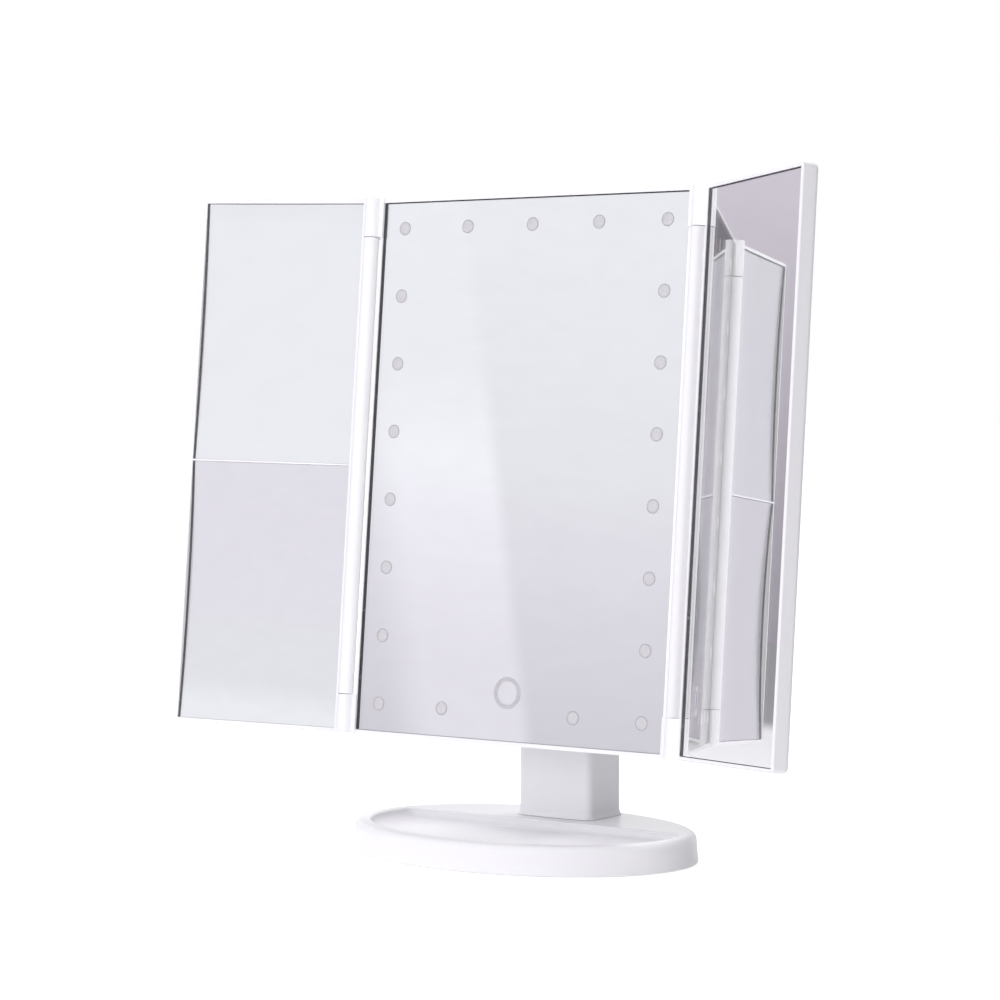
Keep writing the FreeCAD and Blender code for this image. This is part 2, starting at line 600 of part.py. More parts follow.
def battery_door():
    height = (DOOR_BOTTOM, SHOULDER - 0.4)
    back = REAR_WALL_FACE - SLIDING
    plate = box(wide(DOOR_HALF_WIDTH), (back, COLUMN_REAR), height)
    tongue_plate = box(wide(DOOR_TONGUE_HALF_WIDTH), (back - DOOR_TONGUE, back), height)
    rib_front = CELL_Y + CELL_RADIUS + 4 * LOOSE
    ribs = [box((x - DOOR_RIB / 2, x + DOOR_RIB / 2), (rib_front, back - DOOR_TONGUE / 2),
                (BAY_FLOOR + DOOR_RIB_END, BAY_TOP - DOOR_RIB_END)) for x in (-CELL_X, CELL_X)]
    door = fuse([plate, tongue_plate] + ribs)
    for line in range(GRIP_LINES):
        z = SHOULDER - GRIP_DROP - line * GRIP_PITCH
        door = door.cut(rod(0.6, V(-GRIP_WIDTH / 2, COLUMN_REAR + 0.1, z), V(1, 0, 0), GRIP_WIDTH))
    return door


def battery_cells():
    solids = []
    for x, low, nub_up in cells():
        can_low = low if nub_up else low + CELL_NUB
        can = rod(CELL_RADIUS, V(x, CELL_Y, can_low), V(0, 0, 1), CELL_LENGTH - CELL_NUB)
        can = can.makeFillet(0.6, can.Edges[0:1] + can.Edges[2:3])
        nub_low = low + CELL_LENGTH - CELL_NUB if nub_up else low
        nub = rod(CELL_NUB_RADIUS, V(x, CELL_Y, nub_low - (0.1 if nub_up else 0)), V(0, 0, 1), CELL_NUB + 0.1)
        solids.append(fuse([can, nub]))
    return group(solids)


def battery_contacts():
    """A bridge over both upper cells and one sprung leaf under each lower cell."""
    half = CELL_RADIUS - 2
    bridge = box(wide(CELL_X + half), (CELL_Y - half, CELL_Y + half), (CELL_TOP, BAY_TOP))
    solids = [bridge]
    for side in (-1, 1):
        x = side * CELL_X
        points = [V(x - half, 0, BAY_FLOOR), V(x + half, 0, BAY_FLOOR), V(x + half, 0, BAY_FLOOR + CONTACT),
                  V(x - half + 2.2, 0, BAY_FLOOR + CONTACT), V(x - 0.9, 0, CELL_FOOT - CONTACT),
                  V(x + 0.9, 0, CELL_FOOT - CONTACT), V(x + half - 1.2, 0, BAY_FLOOR + 1.6),
                  V(x + half - 0.9, 0, BAY_FLOOR + 1.9), V(x + 1.1, 0, CELL_FOOT),
                  V(x - 1.1, 0, CELL_FOOT), V(x - half + 1.7, 0, BAY_FLOOR + 2 * CONTACT),
                  V(x - half, 0, BAY_FLOOR + 2 * CONTACT)]
        leaf = Part.Face(Part.makePolygon(points + points[:1])).extrude(V(0, 5, 0))
        leaf.translate(V(0, CELL_Y - 2.5, 0))
        solids.append(leaf)
    return group(solids)


def charge_board():
    return box(wide(BOARD_HALF_WIDTH), (BOARD_FRONT, BOARD_REAR), (BOARD_TOP - BOARD, BOARD_TOP))


def usb_socket():
    rear = COLUMN_REAR - 0.5
    wall = 0.35
    left, right = USB_X - USB_WIDTH / 2, USB_X + USB_WIDTH / 2
    shell = box((left, right), (rear - USB_DEPTH, rear), (BOARD_TOP, BOARD_TOP + USB_HEIGHT))
    lower = edges_where(shell, lambda b: near(b.ZMax, BOARD_TOP) and b.YLength > 1)
    shell = shell.makeChamfer(0.7, lower)
    mouth = box((left + wall, right - wall), (rear - USB_DEPTH + 1, rear + 1),
                (BOARD_TOP + wall, BOARD_TOP + USB_HEIGHT - wall))
    lower = edges_where(mouth, lambda b: near(b.ZMax, BOARD_TOP + wall) and b.YLength > 1)
    mouth = mouth.makeChamfer(0.6, lower)
    blade = box((USB_X - 2.2, USB_X + 2.2), (rear - USB_DEPTH + 0.5, rear - 0.8),
                (BOARD_TOP + 1.4, BOARD_TOP + 1.9))
    return fuse([shell.cut(mouth), blade])


def knob_x():
    low = SWITCH_X - SWITCH_TRAVEL / 2 - KNOB_WIDTH / 2
    return (low, low + KNOB_WIDTH)


def knob_z():
    middle = BOARD_TOP + SWITCH_HEIGHT / 2
    return (middle - KNOB_HEIGHT / 2, middle + KNOB_HEIGHT / 2)


def switch_body():
    rear = REAR_WALL_FACE - 0.1
    body = box((SWITCH_X - SWITCH_WIDTH / 2, SWITCH_X + SWITCH_WIDTH / 2), (rear - SWITCH_DEPTH, rear),
               (BOARD_TOP, BOARD_TOP + SWITCH_HEIGHT))
    left, right = knob_x()
    low, high = knob_z()
    slot = box((left - 0.3, right + SWITCH_TRAVEL + 0.3), (rear - 2, rear + 1), (low - 0.2, high + 0.2))
    return body.cut(slot)


def switch_knob():
    rear = COLUMN_REAR + KNOB_PROUD
    knob = box(knob_x(), (REAR_WALL_FACE - 1.8, rear), knob_z())
    return knob.makeFillet(0.4, edges_where(knob, lambda b: near(b.YMin, rear)))


LEAD_SPLIT = V(TONGUE_WIDTH / 2, 0, 0)       # the lead's two lengths meet on the tilt axis, inside the bush


def power_lead():
    """Up from the charge board through the bay and the tongue, and into the bush."""
    foot = V(0, LEAD_Y, BOARD_TOP)
    knee = V(0, LEAD_Y, PIVOT_HEIGHT - TONGUE_RADIUS * 0.75)
    return lead([foot, knee, PIVOT, PIVOT + LEAD_SPLIT], [2 * LEAD_BEND, LEAD_BEND])


# ---- tilt hinge ---------------------------------------------------------------------------

def tilt_screw():
    under_head = PIVOT - V(EAR_INNER + EAR_WEB + 0.1 + WASHER_THICKNESS, 0, 0)
    head_height = EAR_OUTER - EAR_CAP - 0.2 - (EAR_INNER + EAR_WEB + 0.1 + WASHER_THICKNESS)
    length = under_head.x * -1 - TONGUE_POCKET / 2 + NUT_THICKNESS * 1.25
    return screw(under_head, V(1, 0, 0), EAR_RECESS_RADIUS - 1.0, head_height, TILT_SCREW_RADIUS, length)


def spring_washer():
    start = PIVOT - V(EAR_INNER + EAR_WEB + 0.1, 0, 0)
    washer = ring(EAR_RECESS_RADIUS - 0.8, TILT_SCREW_RADIUS + LOOSE, start, V(-1, 0, 0), WASHER_THICKNESS)
    split = box((start.x - 2, start.x + 1), (COLUMN_Y - 0.3, COLUMN_Y + 0.3),
                (PIVOT_HEIGHT, PIVOT_HEIGHT + 2 * EAR_RECESS_RADIUS))
    return washer.cut(split)


def tilt_nut():
    start = PIVOT - V(TONGUE_POCKET / 2, 0, 0)
    angles = [math.radians(60 * k) for k in range(7)]
    corners = [start + V(0, NUT_RADIUS * math.cos(a), NUT_RADIUS * math.sin(a)) for a in angles]
    nut = Part.Face(Part.makePolygon(corners)).extrude(V(NUT_THICKNESS, 0, 0))
    return nut.cut(rod(TILT_SCREW_RADIUS + PRESSED, start, V(1, 0, 0), NUT_THICKNESS))


def friction_washers():
    washers = []
    for side, bore in ((-1, TILT_SCREW_RADIUS), (1, TILT_BUSH_RADIUS)):
        along = V(side, 0, 0)
        start = PIVOT + along * (TONGUE_WIDTH / 2)
        washers.append(ring(WASHER_RADIUS, bore + LOOSE, start, along, WASHER_THICKNESS))
    return group(washers)


def tilt_bush():
    inner = TONGUE_POCKET / 2
    outer = EAR_INNER + 2.6
    flange = rod(TILT_BUSH_RADIUS + 1.5, PIVOT + V(inner - 0.8, 0, 0), V(1, 0, 0), 0.8)
    tube = rod(TILT_BUSH_RADIUS, PIVOT + V(inner - 0.1, 0, 0), V(1, 0, 0), outer - inner + 0.1)
    return fuse([flange, tube]).cut(rod(TILT_BUSH_BORE, PIVOT, V(1, 0, 0), outer + 1))


def ear_cap():
    start = PIVOT_IN_HEAD - V(EAR_OUTER - EAR_CAP, 0, 0)
    cap = rod(EAR_RECESS_RADIUS - PRESSED, start, V(-1, 0, 0), EAR_CAP)
    rim = [e for e in cap.Edges if near(e.CenterOfMass.x, -EAR_OUTER)]
    return in_head(cap.makeFillet(0.3, rim))


# ---- head ---------------------------------------------------------------------------------

def lights():
    """Places of the light spots, as (x, z) in the head's frame."""
    places = [(k * LIGHT_PITCH_X, LIGHT_TOP) for k in (-2, -1, 0, 1, 2)]
    for row in range(1, LIGHT_ROWS):
        places += [(side * 2 * LIGHT_PITCH_X, LIGHT_TOP - row * LIGHT_PITCH_Z) for side in (-1, 1)]
    return places + [(side * LIGHT_PITCH_X, LIGHT_BOTTOM) for side in (-1, 1)]


HEAD_SCREW_Z = FRAME_HALF_HEIGHT - HEAD_SCREW_END
HEAD_SCREWS = [V(x, 0, z) for x in wide(FRAME_HALF_WIDTH - HEAD_SCREW_INSET)
               for z in (-HEAD_SCREW_Z, 0, HEAD_SCREW_Z)]
BACK = V(0, 1, 0)


def knuckle(side, end):
    """One hinge knuckle of the frame with the block that carries it."""
    low = min(end * KNUCKLE_START, end * FRAME_HALF_HEIGHT)
    axis = V(side * HINGE_X, -HINGE_FRONT, low)
    barrel = rod(KNUCKLE_RADIUS, axis, V(0, 0, 1), KNUCKLE_LENGTH)
    inner = side * (FRAME_HALF_WIDTH - SIDE_LIP)
    outer = side * (HINGE_X + KNUCKLE_RADIUS)
    back = WING_BACK - HINGE_FRONT
    web = box(sorted((inner, outer)), (-HINGE_FRONT, back), (low, low + KNUCKLE_LENGTH))
    rear = edges_where(web, lambda b: near(b.XMin, outer) and near(b.XMax, outer) and near(b.YMin, back))
    return fuse([barrel, web.makeFillet(KNUCKLE_RADIUS - 0.5, rear)])


def centre_frame():
    body = upright_slab(FRAME_HALF_WIDTH, FRAME_HALF_HEIGHT, FRAME_CORNER, -LIP_PROUD, FRAME_DEPTH)
    knuckles = [knuckle(side, end) for side in (-1, 1) for end in (-1, 1)]
    body = fuse([body] + knuckles)
    pocket = box(wide(MIRROR_WIDTH / 2 + LOOSE), (-FRAME_DEPTH, TAPE_BACK), wide(MIRROR_HEIGHT / 2 + LOOSE))
    half_width, half_height = FRAME_HALF_WIDTH - FRAME_WALL, FRAME_HALF_HEIGHT - FRAME_WALL
    inside = box(wide(half_width), (FLOOR_BACK, FRAME_DEPTH + 1), wide(half_height))
    bosses = [rod(BOSS_RADIUS, V(p.x, FLOOR_BACK, p.z), BACK, FRAME_DEPTH - FLOOR_BACK) for p in HEAD_SCREWS]
    body = body.cut(pocket).cut(inside.cut(group(bosses)))
    wells = [rod(WELL_RADIUS, V(x, 0, z), BACK, FRAME_DEPTH) for x, z in lights()]
    wells.append(rod(TOUCH_RING_RADIUS - TOUCH_RING_LINE + LOOSE, V(0, 0, TOUCH_Z), BACK, FRAME_DEPTH))
    body = body.cut(group(wells))
    shanks = [rod(SMALL_SHANK + PRESSED, V(p.x, TAPE_BACK + 1, p.z), BACK, FRAME_DEPTH) for p in HEAD_SCREWS]
    body = body.cut(group(shanks))
    pins = []
    for side in (-1, 1):
        for end in (-1, 1):
            pins.append(pin_rod(side, end, HINGE_PIN_RADIUS + PRESSED, HINGE_PIN_INSET))
    return in_head(body.cut(group(pins)))


def pin_rod(side, end, radius, inset):
    """A rod on a wing's axis, from near the frame's end towards the middle."""
    top = FRAME_HALF_HEIGHT - HINGE_PIN_INSET
    start = V(side * HINGE_X, -HINGE_FRONT, end * (top + inset))
    return rod(radius, start, V(0, 0, -end), HINGE_PIN_LENGTH + inset)


def hinge_pins(side):
    return in_head(group([pin_rod(side, end, HINGE_PIN_RADIUS, 0) for end in (-1, 1)]))


def cover_dome(shrink, front, back, edge_round):
    """The rear cover's volume: a short straight edge, a sloping border and a flat back."""
    edge_top = FRAME_DEPTH + COVER_EDGE - shrink / 2
    foot = upright_slab(FRAME_HALF_WIDTH - shrink, FRAME_HALF_HEIGHT - shrink, FRAME_CORNER, front, edge_top)
    wires = [upright_outline(FRAME_HALF_WIDTH - shrink, FRAME_HALF_HEIGHT - shrink, FRAME_CORNER, edge_top),
             upright_outline(COVER_FLAT_X - shrink / 2, COVER_FLAT_Z - shrink / 2, COVER_CORNER, back)]
    dome = foot.fuse(Part.makeLoft(wires, True, True)).removeSplitter()
    rim = edges_where(dome, lambda b: near(b.YMin, back))
    return dome.makeFillet(edge_round, rim)


CHANNEL_HALF_WIDTH = LEAD_RADIUS + 1.2
CHANNEL_X = EAR_OUTER - 1.6 - CHANNEL_HALF_WIDTH     # middle of the lead's channel in the right ear


def ear(side):
    """One ear of the tilt hinge, before it is hollowed."""
    p = PIVOT_IN_HEAD
    x = side * EAR_INNER
    root = COVER_DEPTH - COVER_WALL * 0.8
    reach = V(side * (EAR_OUTER - EAR_INNER), 0, 0)
    points = [V(x, root, p.z + EAR_RADIUS + EAR_SPREAD_TOP), V(x, p.y, p.z + EAR_RADIUS),
              V(x, p.y, p.z - EAR_RADIUS), V(x, root, p.z - EAR_RADIUS - EAR_SPREAD_FOOT)]
    arm = Part.Face(Part.makePolygon(points + points[:1])).extrude(reach)
    end = rod(EAR_RADIUS, V(x, p.y, p.z), V(side, 0, 0), EAR_OUTER - EAR_INNER)
    return fuse([arm, end])


def centre_rear_cover():
    shell = cover_dome(0, FRAME_DEPTH, COVER_DEPTH, COVER_ROUND)
    inner_round = COVER_ROUND - COVER_WALL / 2
    hollow = cover_dome(COVER_WALL, FRAME_DEPTH - 0.01, COVER_DEPTH - COVER_WALL, inner_round)
    cups = [rod(SMALL_HEAD + 1.6, V(p.x, FRAME_DEPTH, p.z), BACK, COVER_DEPTH - FRAME_DEPTH).common(shell)
            for p in HEAD_SCREWS]
    depth = (FRAME_DEPTH + 5 * LOOSE, COVER_DEPTH - COVER_WALL / 2)
    ribs = [box((x - RIB / 2, x + RIB / 2), depth, wide(COVER_FLAT_Z)) for x in wide(RIB_X)]
    ribs += [box(wide(COVER_FLAT_X), depth, (z - RIB / 2, z + RIB / 2))
             for z in (-COVER_FLAT_Z / 2, 0, COVER_FLAT_Z / 2)]
    ribs = [rib.common(shell) for rib in ribs]
    p = PIVOT_IN_HEAD
    bridge_depth = (COVER_DEPTH - COVER_WALL / 2, p.y - EAR_RADIUS - BRIDGE_GAP)
    bridge = box(wide(EAR_INNER + 0.5), bridge_depth, (p.z - EAR_RADIUS, p.z + EAR_RADIUS))
    body = fuse([shell.cut(hollow)] + cups + ribs + [ear(-1), ear(1), bridge])
    for s in HEAD_SCREWS:
        body = body.cut(rod(SMALL_SHANK + LOOSE, V(s.x, 0, s.z), BACK, COVER_DEPTH + 1))
        seat = V(s.x, FRAME_DEPTH + HEAD_SCREW_HOLD, s.z)
        body = body.cut(rod(SMALL_HEAD + LOOSE, seat, BACK, COVER_DEPTH))
    # friction side: bore for the screw and a recess for its head
    body = body.cut(rod(TILT_SCREW_RADIUS + RUNNING, p, V(-1, 0, 0), COLUMN_WIDTH))
    body = body.cut(rod(EAR_RECESS_RADIUS, p - V(EAR_INNER + EAR_WEB, 0, 0), V(-1, 0, 0), COLUMN_WIDTH))
    # lead side: bore for the bush and a channel along the ear into the head
    body = body.cut(rod(TILT_BUSH_RADIUS + RUNNING, p, V(1, 0, 0), EAR_INNER + 3))
    channel_x = (CHANNEL_X - CHANNEL_HALF_WIDTH, CHANNEL_X + CHANNEL_HALF_WIDTH)
    half = 2 * CHANNEL_HALF_WIDTH
    channel = box(channel_x, (FRAME_DEPTH, p.y), (p.z - half, p.z + half))
    channel_end = rod(half, V(channel_x[0], p.y, p.z), V(1, 0, 0), channel_x[1] - channel_x[0])
    body = body.cut(fuse([channel, channel_end]))
    return in_head(body)


def head_screws():
    seat = FRAME_DEPTH + HEAD_SCREW_HOLD
    return in_head(group([screw(V(p.x, seat, p.z), BACK * -1, SMALL_HEAD, SMALL_HEAD_HEIGHT, SMALL_SHANK,
                                HEAD_SCREW_LENGTH) for p in HEAD_SCREWS]))


def centre_mirror():
    return in_head(upright_slab(MIRROR_WIDTH / 2, MIRROR_HEIGHT / 2, GLASS_CORNER, 0, GLASS))


def centre_tape():
    half_width, half_height = MIRROR_WIDTH / 2 - TAPE_MARGIN, MIRROR_HEIGHT / 2 - TAPE_MARGIN
    sheet = upright_slab(half_width, half_height, TAPE_MARGIN / 3, GLASS, TAPE_BACK)
    holes = [rod(LIGHT_RADIUS + 2 * LOOSE, V(x, 0, z), BACK, FRAME_DEPTH) for x, z in lights()]
    holes.append(rod(TOUCH_RING_RADIUS + 2 * LOOSE, V(0, 0, TOUCH_Z), BACK, FRAME_DEPTH))
    return in_head(sheet.cut(group(holes)))


def light_diffusers():
    return in_head(group([rod(LIGHT_RADIUS, V(x, GLASS, z), BACK, TAPE) for x, z in lights()]))


TOUCH_PLACE = V(0, GLASS, TOUCH_Z)
TOUCH_PAD_RADIUS = TOUCH_RING_RADIUS - TOUCH_RING_LINE - 2 * LOOSE


def touch_ring():
    return in_head(ring(TOUCH_RING_RADIUS, TOUCH_RING_RADIUS - TOUCH_RING_LINE, TOUCH_PLACE, BACK, TAPE))


def touch_pad():
    return in_head(rod(TOUCH_PAD_RADIUS, TOUCH_PLACE, BACK, FLOOR_BACK - GLASS))


def led_boards():
    half = STRIP_WIDTH / 2
    side_x = 2 * LIGHT_PITCH_X
    depth = (FLOOR_BACK, BOARD_BACK)
    top = box(wide(side_x + half), depth, (LIGHT_TOP - half, LIGHT_TOP + half))
    strips = [box((x - half, x + half), depth, (LIGHT_BOTTOM - half, LIGHT_TOP - half - 5 * LOOSE))
              for x in wide(side_x)]
    return in_head(group([top] + strips))


def led_chips():
    chips = [box((x - LED_WIDTH / 2, x + LED_WIDTH / 2), (FLOOR_BACK - LED_THICKNESS, FLOOR_BACK),
                 (z - LED_HEIGHT / 2, z + LED_HEIGHT / 2)) for x, z in lights()]
    return in_head(group(chips))


CONTROL_HALF_WIDTH = LIGHT_PITCH_X + CONTROL_SIDE
PLUG_X = LIGHT_PITCH_X - 4.5
PLUG_HALF_HEIGHT = 2.25


def control_board():
    height = (LIGHT_BOTTOM - STRIP_WIDTH / 2, TOUCH_Z + CONTROL_TOP)
    return in_head(box(wide(CONTROL_HALF_WIDTH), (FLOOR_BACK, BOARD_BACK), height))


def board_components():
    """The touch chip, the coil, the lead's plug and a capacitor."""
    solids = []
    for middle, half_width, half_height, thickness in (
            (0, 3.0, 3.0, 1.4), (PLUG_X / 2, 2.5, 2.5, 1.9), (PLUG_X, 3.5, PLUG_HALF_HEIGHT, 1.9),
            (-PLUG_X / 2, 2.0, 1.25, 1.5)):
        solids.append(box((middle - half_width, middle + half_width), (BOARD_BACK, BOARD_BACK + thickness),
                          (TOUCH_Z - half_height, TOUCH_Z + half_height)))
    return in_head(group(solids))


def board_jumpers():
    """Flat ribbons that join the control board and the strips behind."""
    depth = (BOARD_BACK, BOARD_BACK + JUMPER)
    half = JUMPER_WIDTH / 2
    strip_side = 2 * LIGHT_PITCH_X - STRIP_WIDTH / 2
    ribbons = []
    for side in (-1, 1):
        x = sorted((side * (CONTROL_HALF_WIDTH - JUMPER_LAP), side * (strip_side + JUMPER_LAP)))
        ribbons.append(box(x, depth, (LIGHT_BOTTOM - half, LIGHT_BOTTOM + half)))
        x = 2 * side * LIGHT_PITCH_X
        top = (LIGHT_TOP - STRIP_WIDTH / 2 - JUMPER_LAP, LIGHT_TOP)
        ribbons.append(box((x - half, x + half), depth, top))
    return in_head(group(ribbons))


def head_lead():
    """From the bush along the right ear's channel, and down behind the frame's floor to its plug."""
    p = PIVOT_IN_HEAD
    depth = BOARD_BACK + LEAD_RADIUS + PRESSED
    plug_top = TOUCH_Z + PLUG_HALF_HEIGHT
    points = [p + LEAD_SPLIT, V(CHANNEL_X, p.y, p.z), V(CHANNEL_X, depth, p.z),
              V(CHANNEL_X, depth, (p.z + plug_top) / 2 - LEAD_BEND), V(PLUG_X, depth, plug_top + LEAD_SWEEP),
              V(PLUG_X, depth, plug_top)]
    return in_head(lead(points, [LEAD_BEND, LEAD_SWEEP, LEAD_SWEEP, LEAD_SWEEP]))


# ---- wings --------------------------------------------------------------------------------

def wing_pan():
    """The wing's outer form, in the frame of its own axis, folded flat."""
    high = FRAME_HALF_HEIGHT
    pan = box((WING_START, WING_REACH), (WING_LIP_FRONT, WING_BACK), wide(high))
    corners = edges_where(pan, lambda b: b.YLength > 1 and near(b.XMin, WING_REACH))
    pan = pan.makeFillet(WING_CORNER, corners)
    back = edges_where(pan, lambda b: near(b.YMin, WING_BACK) and b.XMax > WING_START + 1)
    pan = pan.makeFillet(WING_BACK_ROUND, back)
    front = edges_where(pan, lambda b: near(b.YMax, WING_LIP_FRONT) and b.XMax > WING_START + 1)
    pan = pan.makeFillet(WING_FRONT_ROUND, front)
    barrel = rod(BARREL_RADIUS, V(0, 0, -BARREL_HALF_LENGTH), V(0, 0, 1), 2 * BARREL_HALF_LENGTH)
    root = box((0, WING_MIRROR_START), (WING_LIP_FRONT, WING_BACK), wide(BARREL_HALF_LENGTH))
    rear = edges_where(root, lambda b: near(b.XMax, 0) and near(b.YMin, WING_BACK))
    root = root.makeFillet(BARREL_RADIUS - 0.4, rear)
    return fuse([pan, barrel, root])


def wing_bores():
    """Holes for the hinge pins, in the frame of the wing's axis."""
    depth = HINGE_PIN_LENGTH - (KNUCKLE_LENGTH - HINGE_PIN_INSET) - KNUCKLE_SEAM + 1.0
    return [rod(HINGE_PIN_RADIUS + RUNNING, V(0, 0, end * (BARREL_HALF_LENGTH + 1)), V(0, 0, -end), depth + 1)
            for end in (-1, 1)]


def wing_pocket(depth):
    width = (WING_MIRROR_START - LOOSE, WING_MIRROR_END + LOOSE)
    return box(width, (-WING_THICKNESS, depth), wide(MIRROR_HEIGHT / 2 + LOOSE))


def land_spans():
    """The (low, high) pairs across the right wing of the three bands that carry its tape."""
    half = LAND_WIDTH / 2
    pitch = WING_MIRROR_HALF - LAND_INSET_SIDE - half
    return [(x - half, x + half) for x in (WING_MIRROR_X - pitch, WING_MIRROR_X, WING_MIRROR_X + pitch)]


def upright_bands(spans, front, back):
    height = wide(MIRROR_HEIGHT / 2 - LAND_INSET_END)
    return [box(span, (front, back), height) for span in spans]


def land_ribs(front, back):
    """Ribs on the tray's floor that the strips of tape lie on."""
    pitch = (LAND_WIDTH - LAND_RIB) / (LAND_RIBS - 1)
    starts = [low + k * pitch for low, high in land_spans() for k in range(LAND_RIBS)]
    return upright_bands([(x, x + LAND_RIB) for x in starts], front, back)


def right_tray():
    seat = WING_FACE + GLASS + TAPE
    pan = wing_pan().cut(wing_pocket(WING_FLOOR_FRONT))
    body = fuse([pan] + land_ribs(seat, WING_FLOOR_FRONT + WING_FLOOR / 2))
    return in_wing(body.cut(group(wing_bores())), 1)


def right_mirror():
    glass = upright_slab(WING_MIRROR_HALF, MIRROR_HEIGHT / 2, GLASS_CORNER, WING_FACE, WING_FACE + GLASS)
    glass.translate(V(WING_MIRROR_X, 0, 0))
    return in_wing(glass, 1)


def right_tape():
    front = WING_FACE + GLASS
    return in_wing(group(upright_bands(land_spans(), front, front + TAPE)), 1)


DIVIDER_SPAN = (DIVIDER_MIDDLE - DIVIDER / 2, DIVIDER_MIDDLE + DIVIDER / 2)
UPPER_SPAN = (DIVIDER_SPAN[1] + LOOSE, MIRROR_HEIGHT / 2)
LOWER_SPAN = (-MIRROR_HEIGHT / 2, DIVIDER_SPAN[0] - LOOSE)


def concave_centre(span, curve):
    """The sphere centre of a concave mirror whose corners lie flush with the wing's mirror plane."""
    half_height = (span[1] - span[0]) / 2
    sag = curve - math.sqrt(curve ** 2 - WING_MIRROR_HALF ** 2 - half_height ** 2)
    return V(WING_MIRROR_X, WING_FACE + sag - curve, (span[0] + span[1]) / 2)


def concave_mirror(span, curve):
    centre = concave_centre(span, curve)
    blank = box((WING_MIRROR_START, WING_MIRROR_END), (0, WING_BACK), span)
    outer = Part.makeSphere(curve + CONCAVE_GLASS, centre)
    inner = Part.makeSphere(curve, centre)
    return in_wing(blank.common(outer).cut(inner), -1)


def left_tray():
    pan = wing_pan().cut(wing_pocket(WING_FLOOR_FRONT))
    divider = box((WING_MIRROR_START - WING_INNER_LIP / 2, WING_MIRROR_END + WING_LIP / 2),
                  (WING_LIP_FRONT, WING_FLOOR_FRONT + WING_FLOOR / 2), DIVIDER_SPAN)
    body = fuse([pan, divider])
    return in_wing(body.cut(group(wing_bores())), -1)


def left_pads():
    """Foam pads under the two concave mirrors, shaped to their backs."""
    pads = []
    for span, curve in ((UPPER_SPAN, UPPER_CURVE), (LOWER_SPAN, LOWER_CURVE)):
        centre = concave_centre(span, curve)
        back = Part.makeSphere(curve + CONCAVE_GLASS, centre)
        for x in wide(WING_MIRROR_HALF - PAD_INSET_SIDE):
            for z in (span[0] + PAD_INSET_END, span[1] - PAD_INSET_END):
                pad = rod(PAD_RADIUS, V(centre.x + x, 0, z), BACK, WING_FLOOR_FRONT)
                pads.append(pad.cut(back))
    return in_wing(group(pads), -1)


# ---- nodes --------------------------------------------------------------------------------

NODES = {
    "base_shell": base_shell,
    "base_bottom_plate": base_plate,
    "foot_ring": foot_ring,
    "base_plate_screws": plate_screws,
    "column_screws": column_screws,
    "column_shell": column_shell,
    "battery_door": battery_door,
    "battery_cells": battery_cells,
    "battery_contacts": battery_contacts,
    "charge_board": charge_board,
    "power_lead": power_lead,
    "usb_socket": usb_socket,
    "power_switch_body": switch_body,
    "power_switch_knob": switch_knob,
    "tilt_screw": tilt_screw,
    "tilt_nut": tilt_nut,
    "tilt_spring_washer": spring_washer,
    "tilt_friction_washers": friction_washers,
    "tilt_bush": tilt_bush,
    "ear_cap": ear_cap,
    "centre_frame": centre_frame,
    "centre_rear_cover": centre_rear_cover,
    "head_screws": head_screws,
    "centre_mirror": centre_mirror,
    "centre_mirror_tape": centre_tape,
    "light_diffusers": light_diffusers,
    "touch_ring_diffuser": touch_ring,
    "touch_pad": touch_pad,
    "led_boards": led_boards,
    "led_chips": led_chips,
    "control_board": control_board,
    "control_board_components": board_components,
    "board_jumpers": board_jumpers,
    "head_lead": head_lead,
    "left_hinge_pins": lambda: hinge_pins(-1),
    "right_hinge_pins": lambda: hinge_pins(1),
    "left_wing_tray": left_tray,
    "left_upper_mirror": lambda: concave_mirror(UPPER_SPAN, UPPER_CURVE),
    "left_lower_mirror": lambda: concave_mirror(LOWER_SPAN, LOWER_CURVE),
    "left_mirror_pads": left_pads,
    "right_wing_tray": right_tray,
    "right_mirror": right_mirror,
    "right_mirror_tape": right_tape,
}

os.makedirs("parts", exist_ok=True)
for name, make in NODES.items():
    shape = make()
    solids = shape.Solids
    if not solids or not all(solid.isValid() and solid.isClosed() for solid in solids):
        raise ValueError(name + " is not made of closed valid solids")
    shape.exportStep("parts/" + name + ".step")
    print(name, len(solids), "solids,", round(shape.Volume, 1), "mm3")
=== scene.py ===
"""Trifold vanity mirror: finishes, mirror glass and light spots around the fixed frame."""

import json
import math

import bmesh
import bpy
from bpy.props import FloatProperty, FloatVectorProperty, IntProperty, PointerProperty
from mathutils import Matrix, Vector


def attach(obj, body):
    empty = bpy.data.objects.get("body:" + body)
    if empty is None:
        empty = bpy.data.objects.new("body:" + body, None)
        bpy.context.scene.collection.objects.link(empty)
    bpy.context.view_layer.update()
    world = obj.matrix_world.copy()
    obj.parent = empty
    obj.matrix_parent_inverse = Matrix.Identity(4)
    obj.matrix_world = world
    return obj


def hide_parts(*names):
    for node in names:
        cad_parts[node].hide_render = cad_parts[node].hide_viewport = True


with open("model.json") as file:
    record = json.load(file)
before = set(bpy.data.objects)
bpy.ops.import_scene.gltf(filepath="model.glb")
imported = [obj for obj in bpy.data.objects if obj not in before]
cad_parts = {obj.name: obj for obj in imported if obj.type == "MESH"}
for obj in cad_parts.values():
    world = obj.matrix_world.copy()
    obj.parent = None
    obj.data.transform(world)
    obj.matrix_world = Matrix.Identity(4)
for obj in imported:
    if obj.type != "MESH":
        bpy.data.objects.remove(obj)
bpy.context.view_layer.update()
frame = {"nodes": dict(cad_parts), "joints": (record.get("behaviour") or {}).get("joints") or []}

bl_info = {
    "name": "Trifold vanity mirror",
    "version": (1, 0, 0),
    "blender": (4, 5, 0),
    "location": "View3D > Sidebar > Vanity mirror",
    "description": "Builds the glass, the light spots and the finishes of a trifold vanity mirror",
    "category": "Object",
}

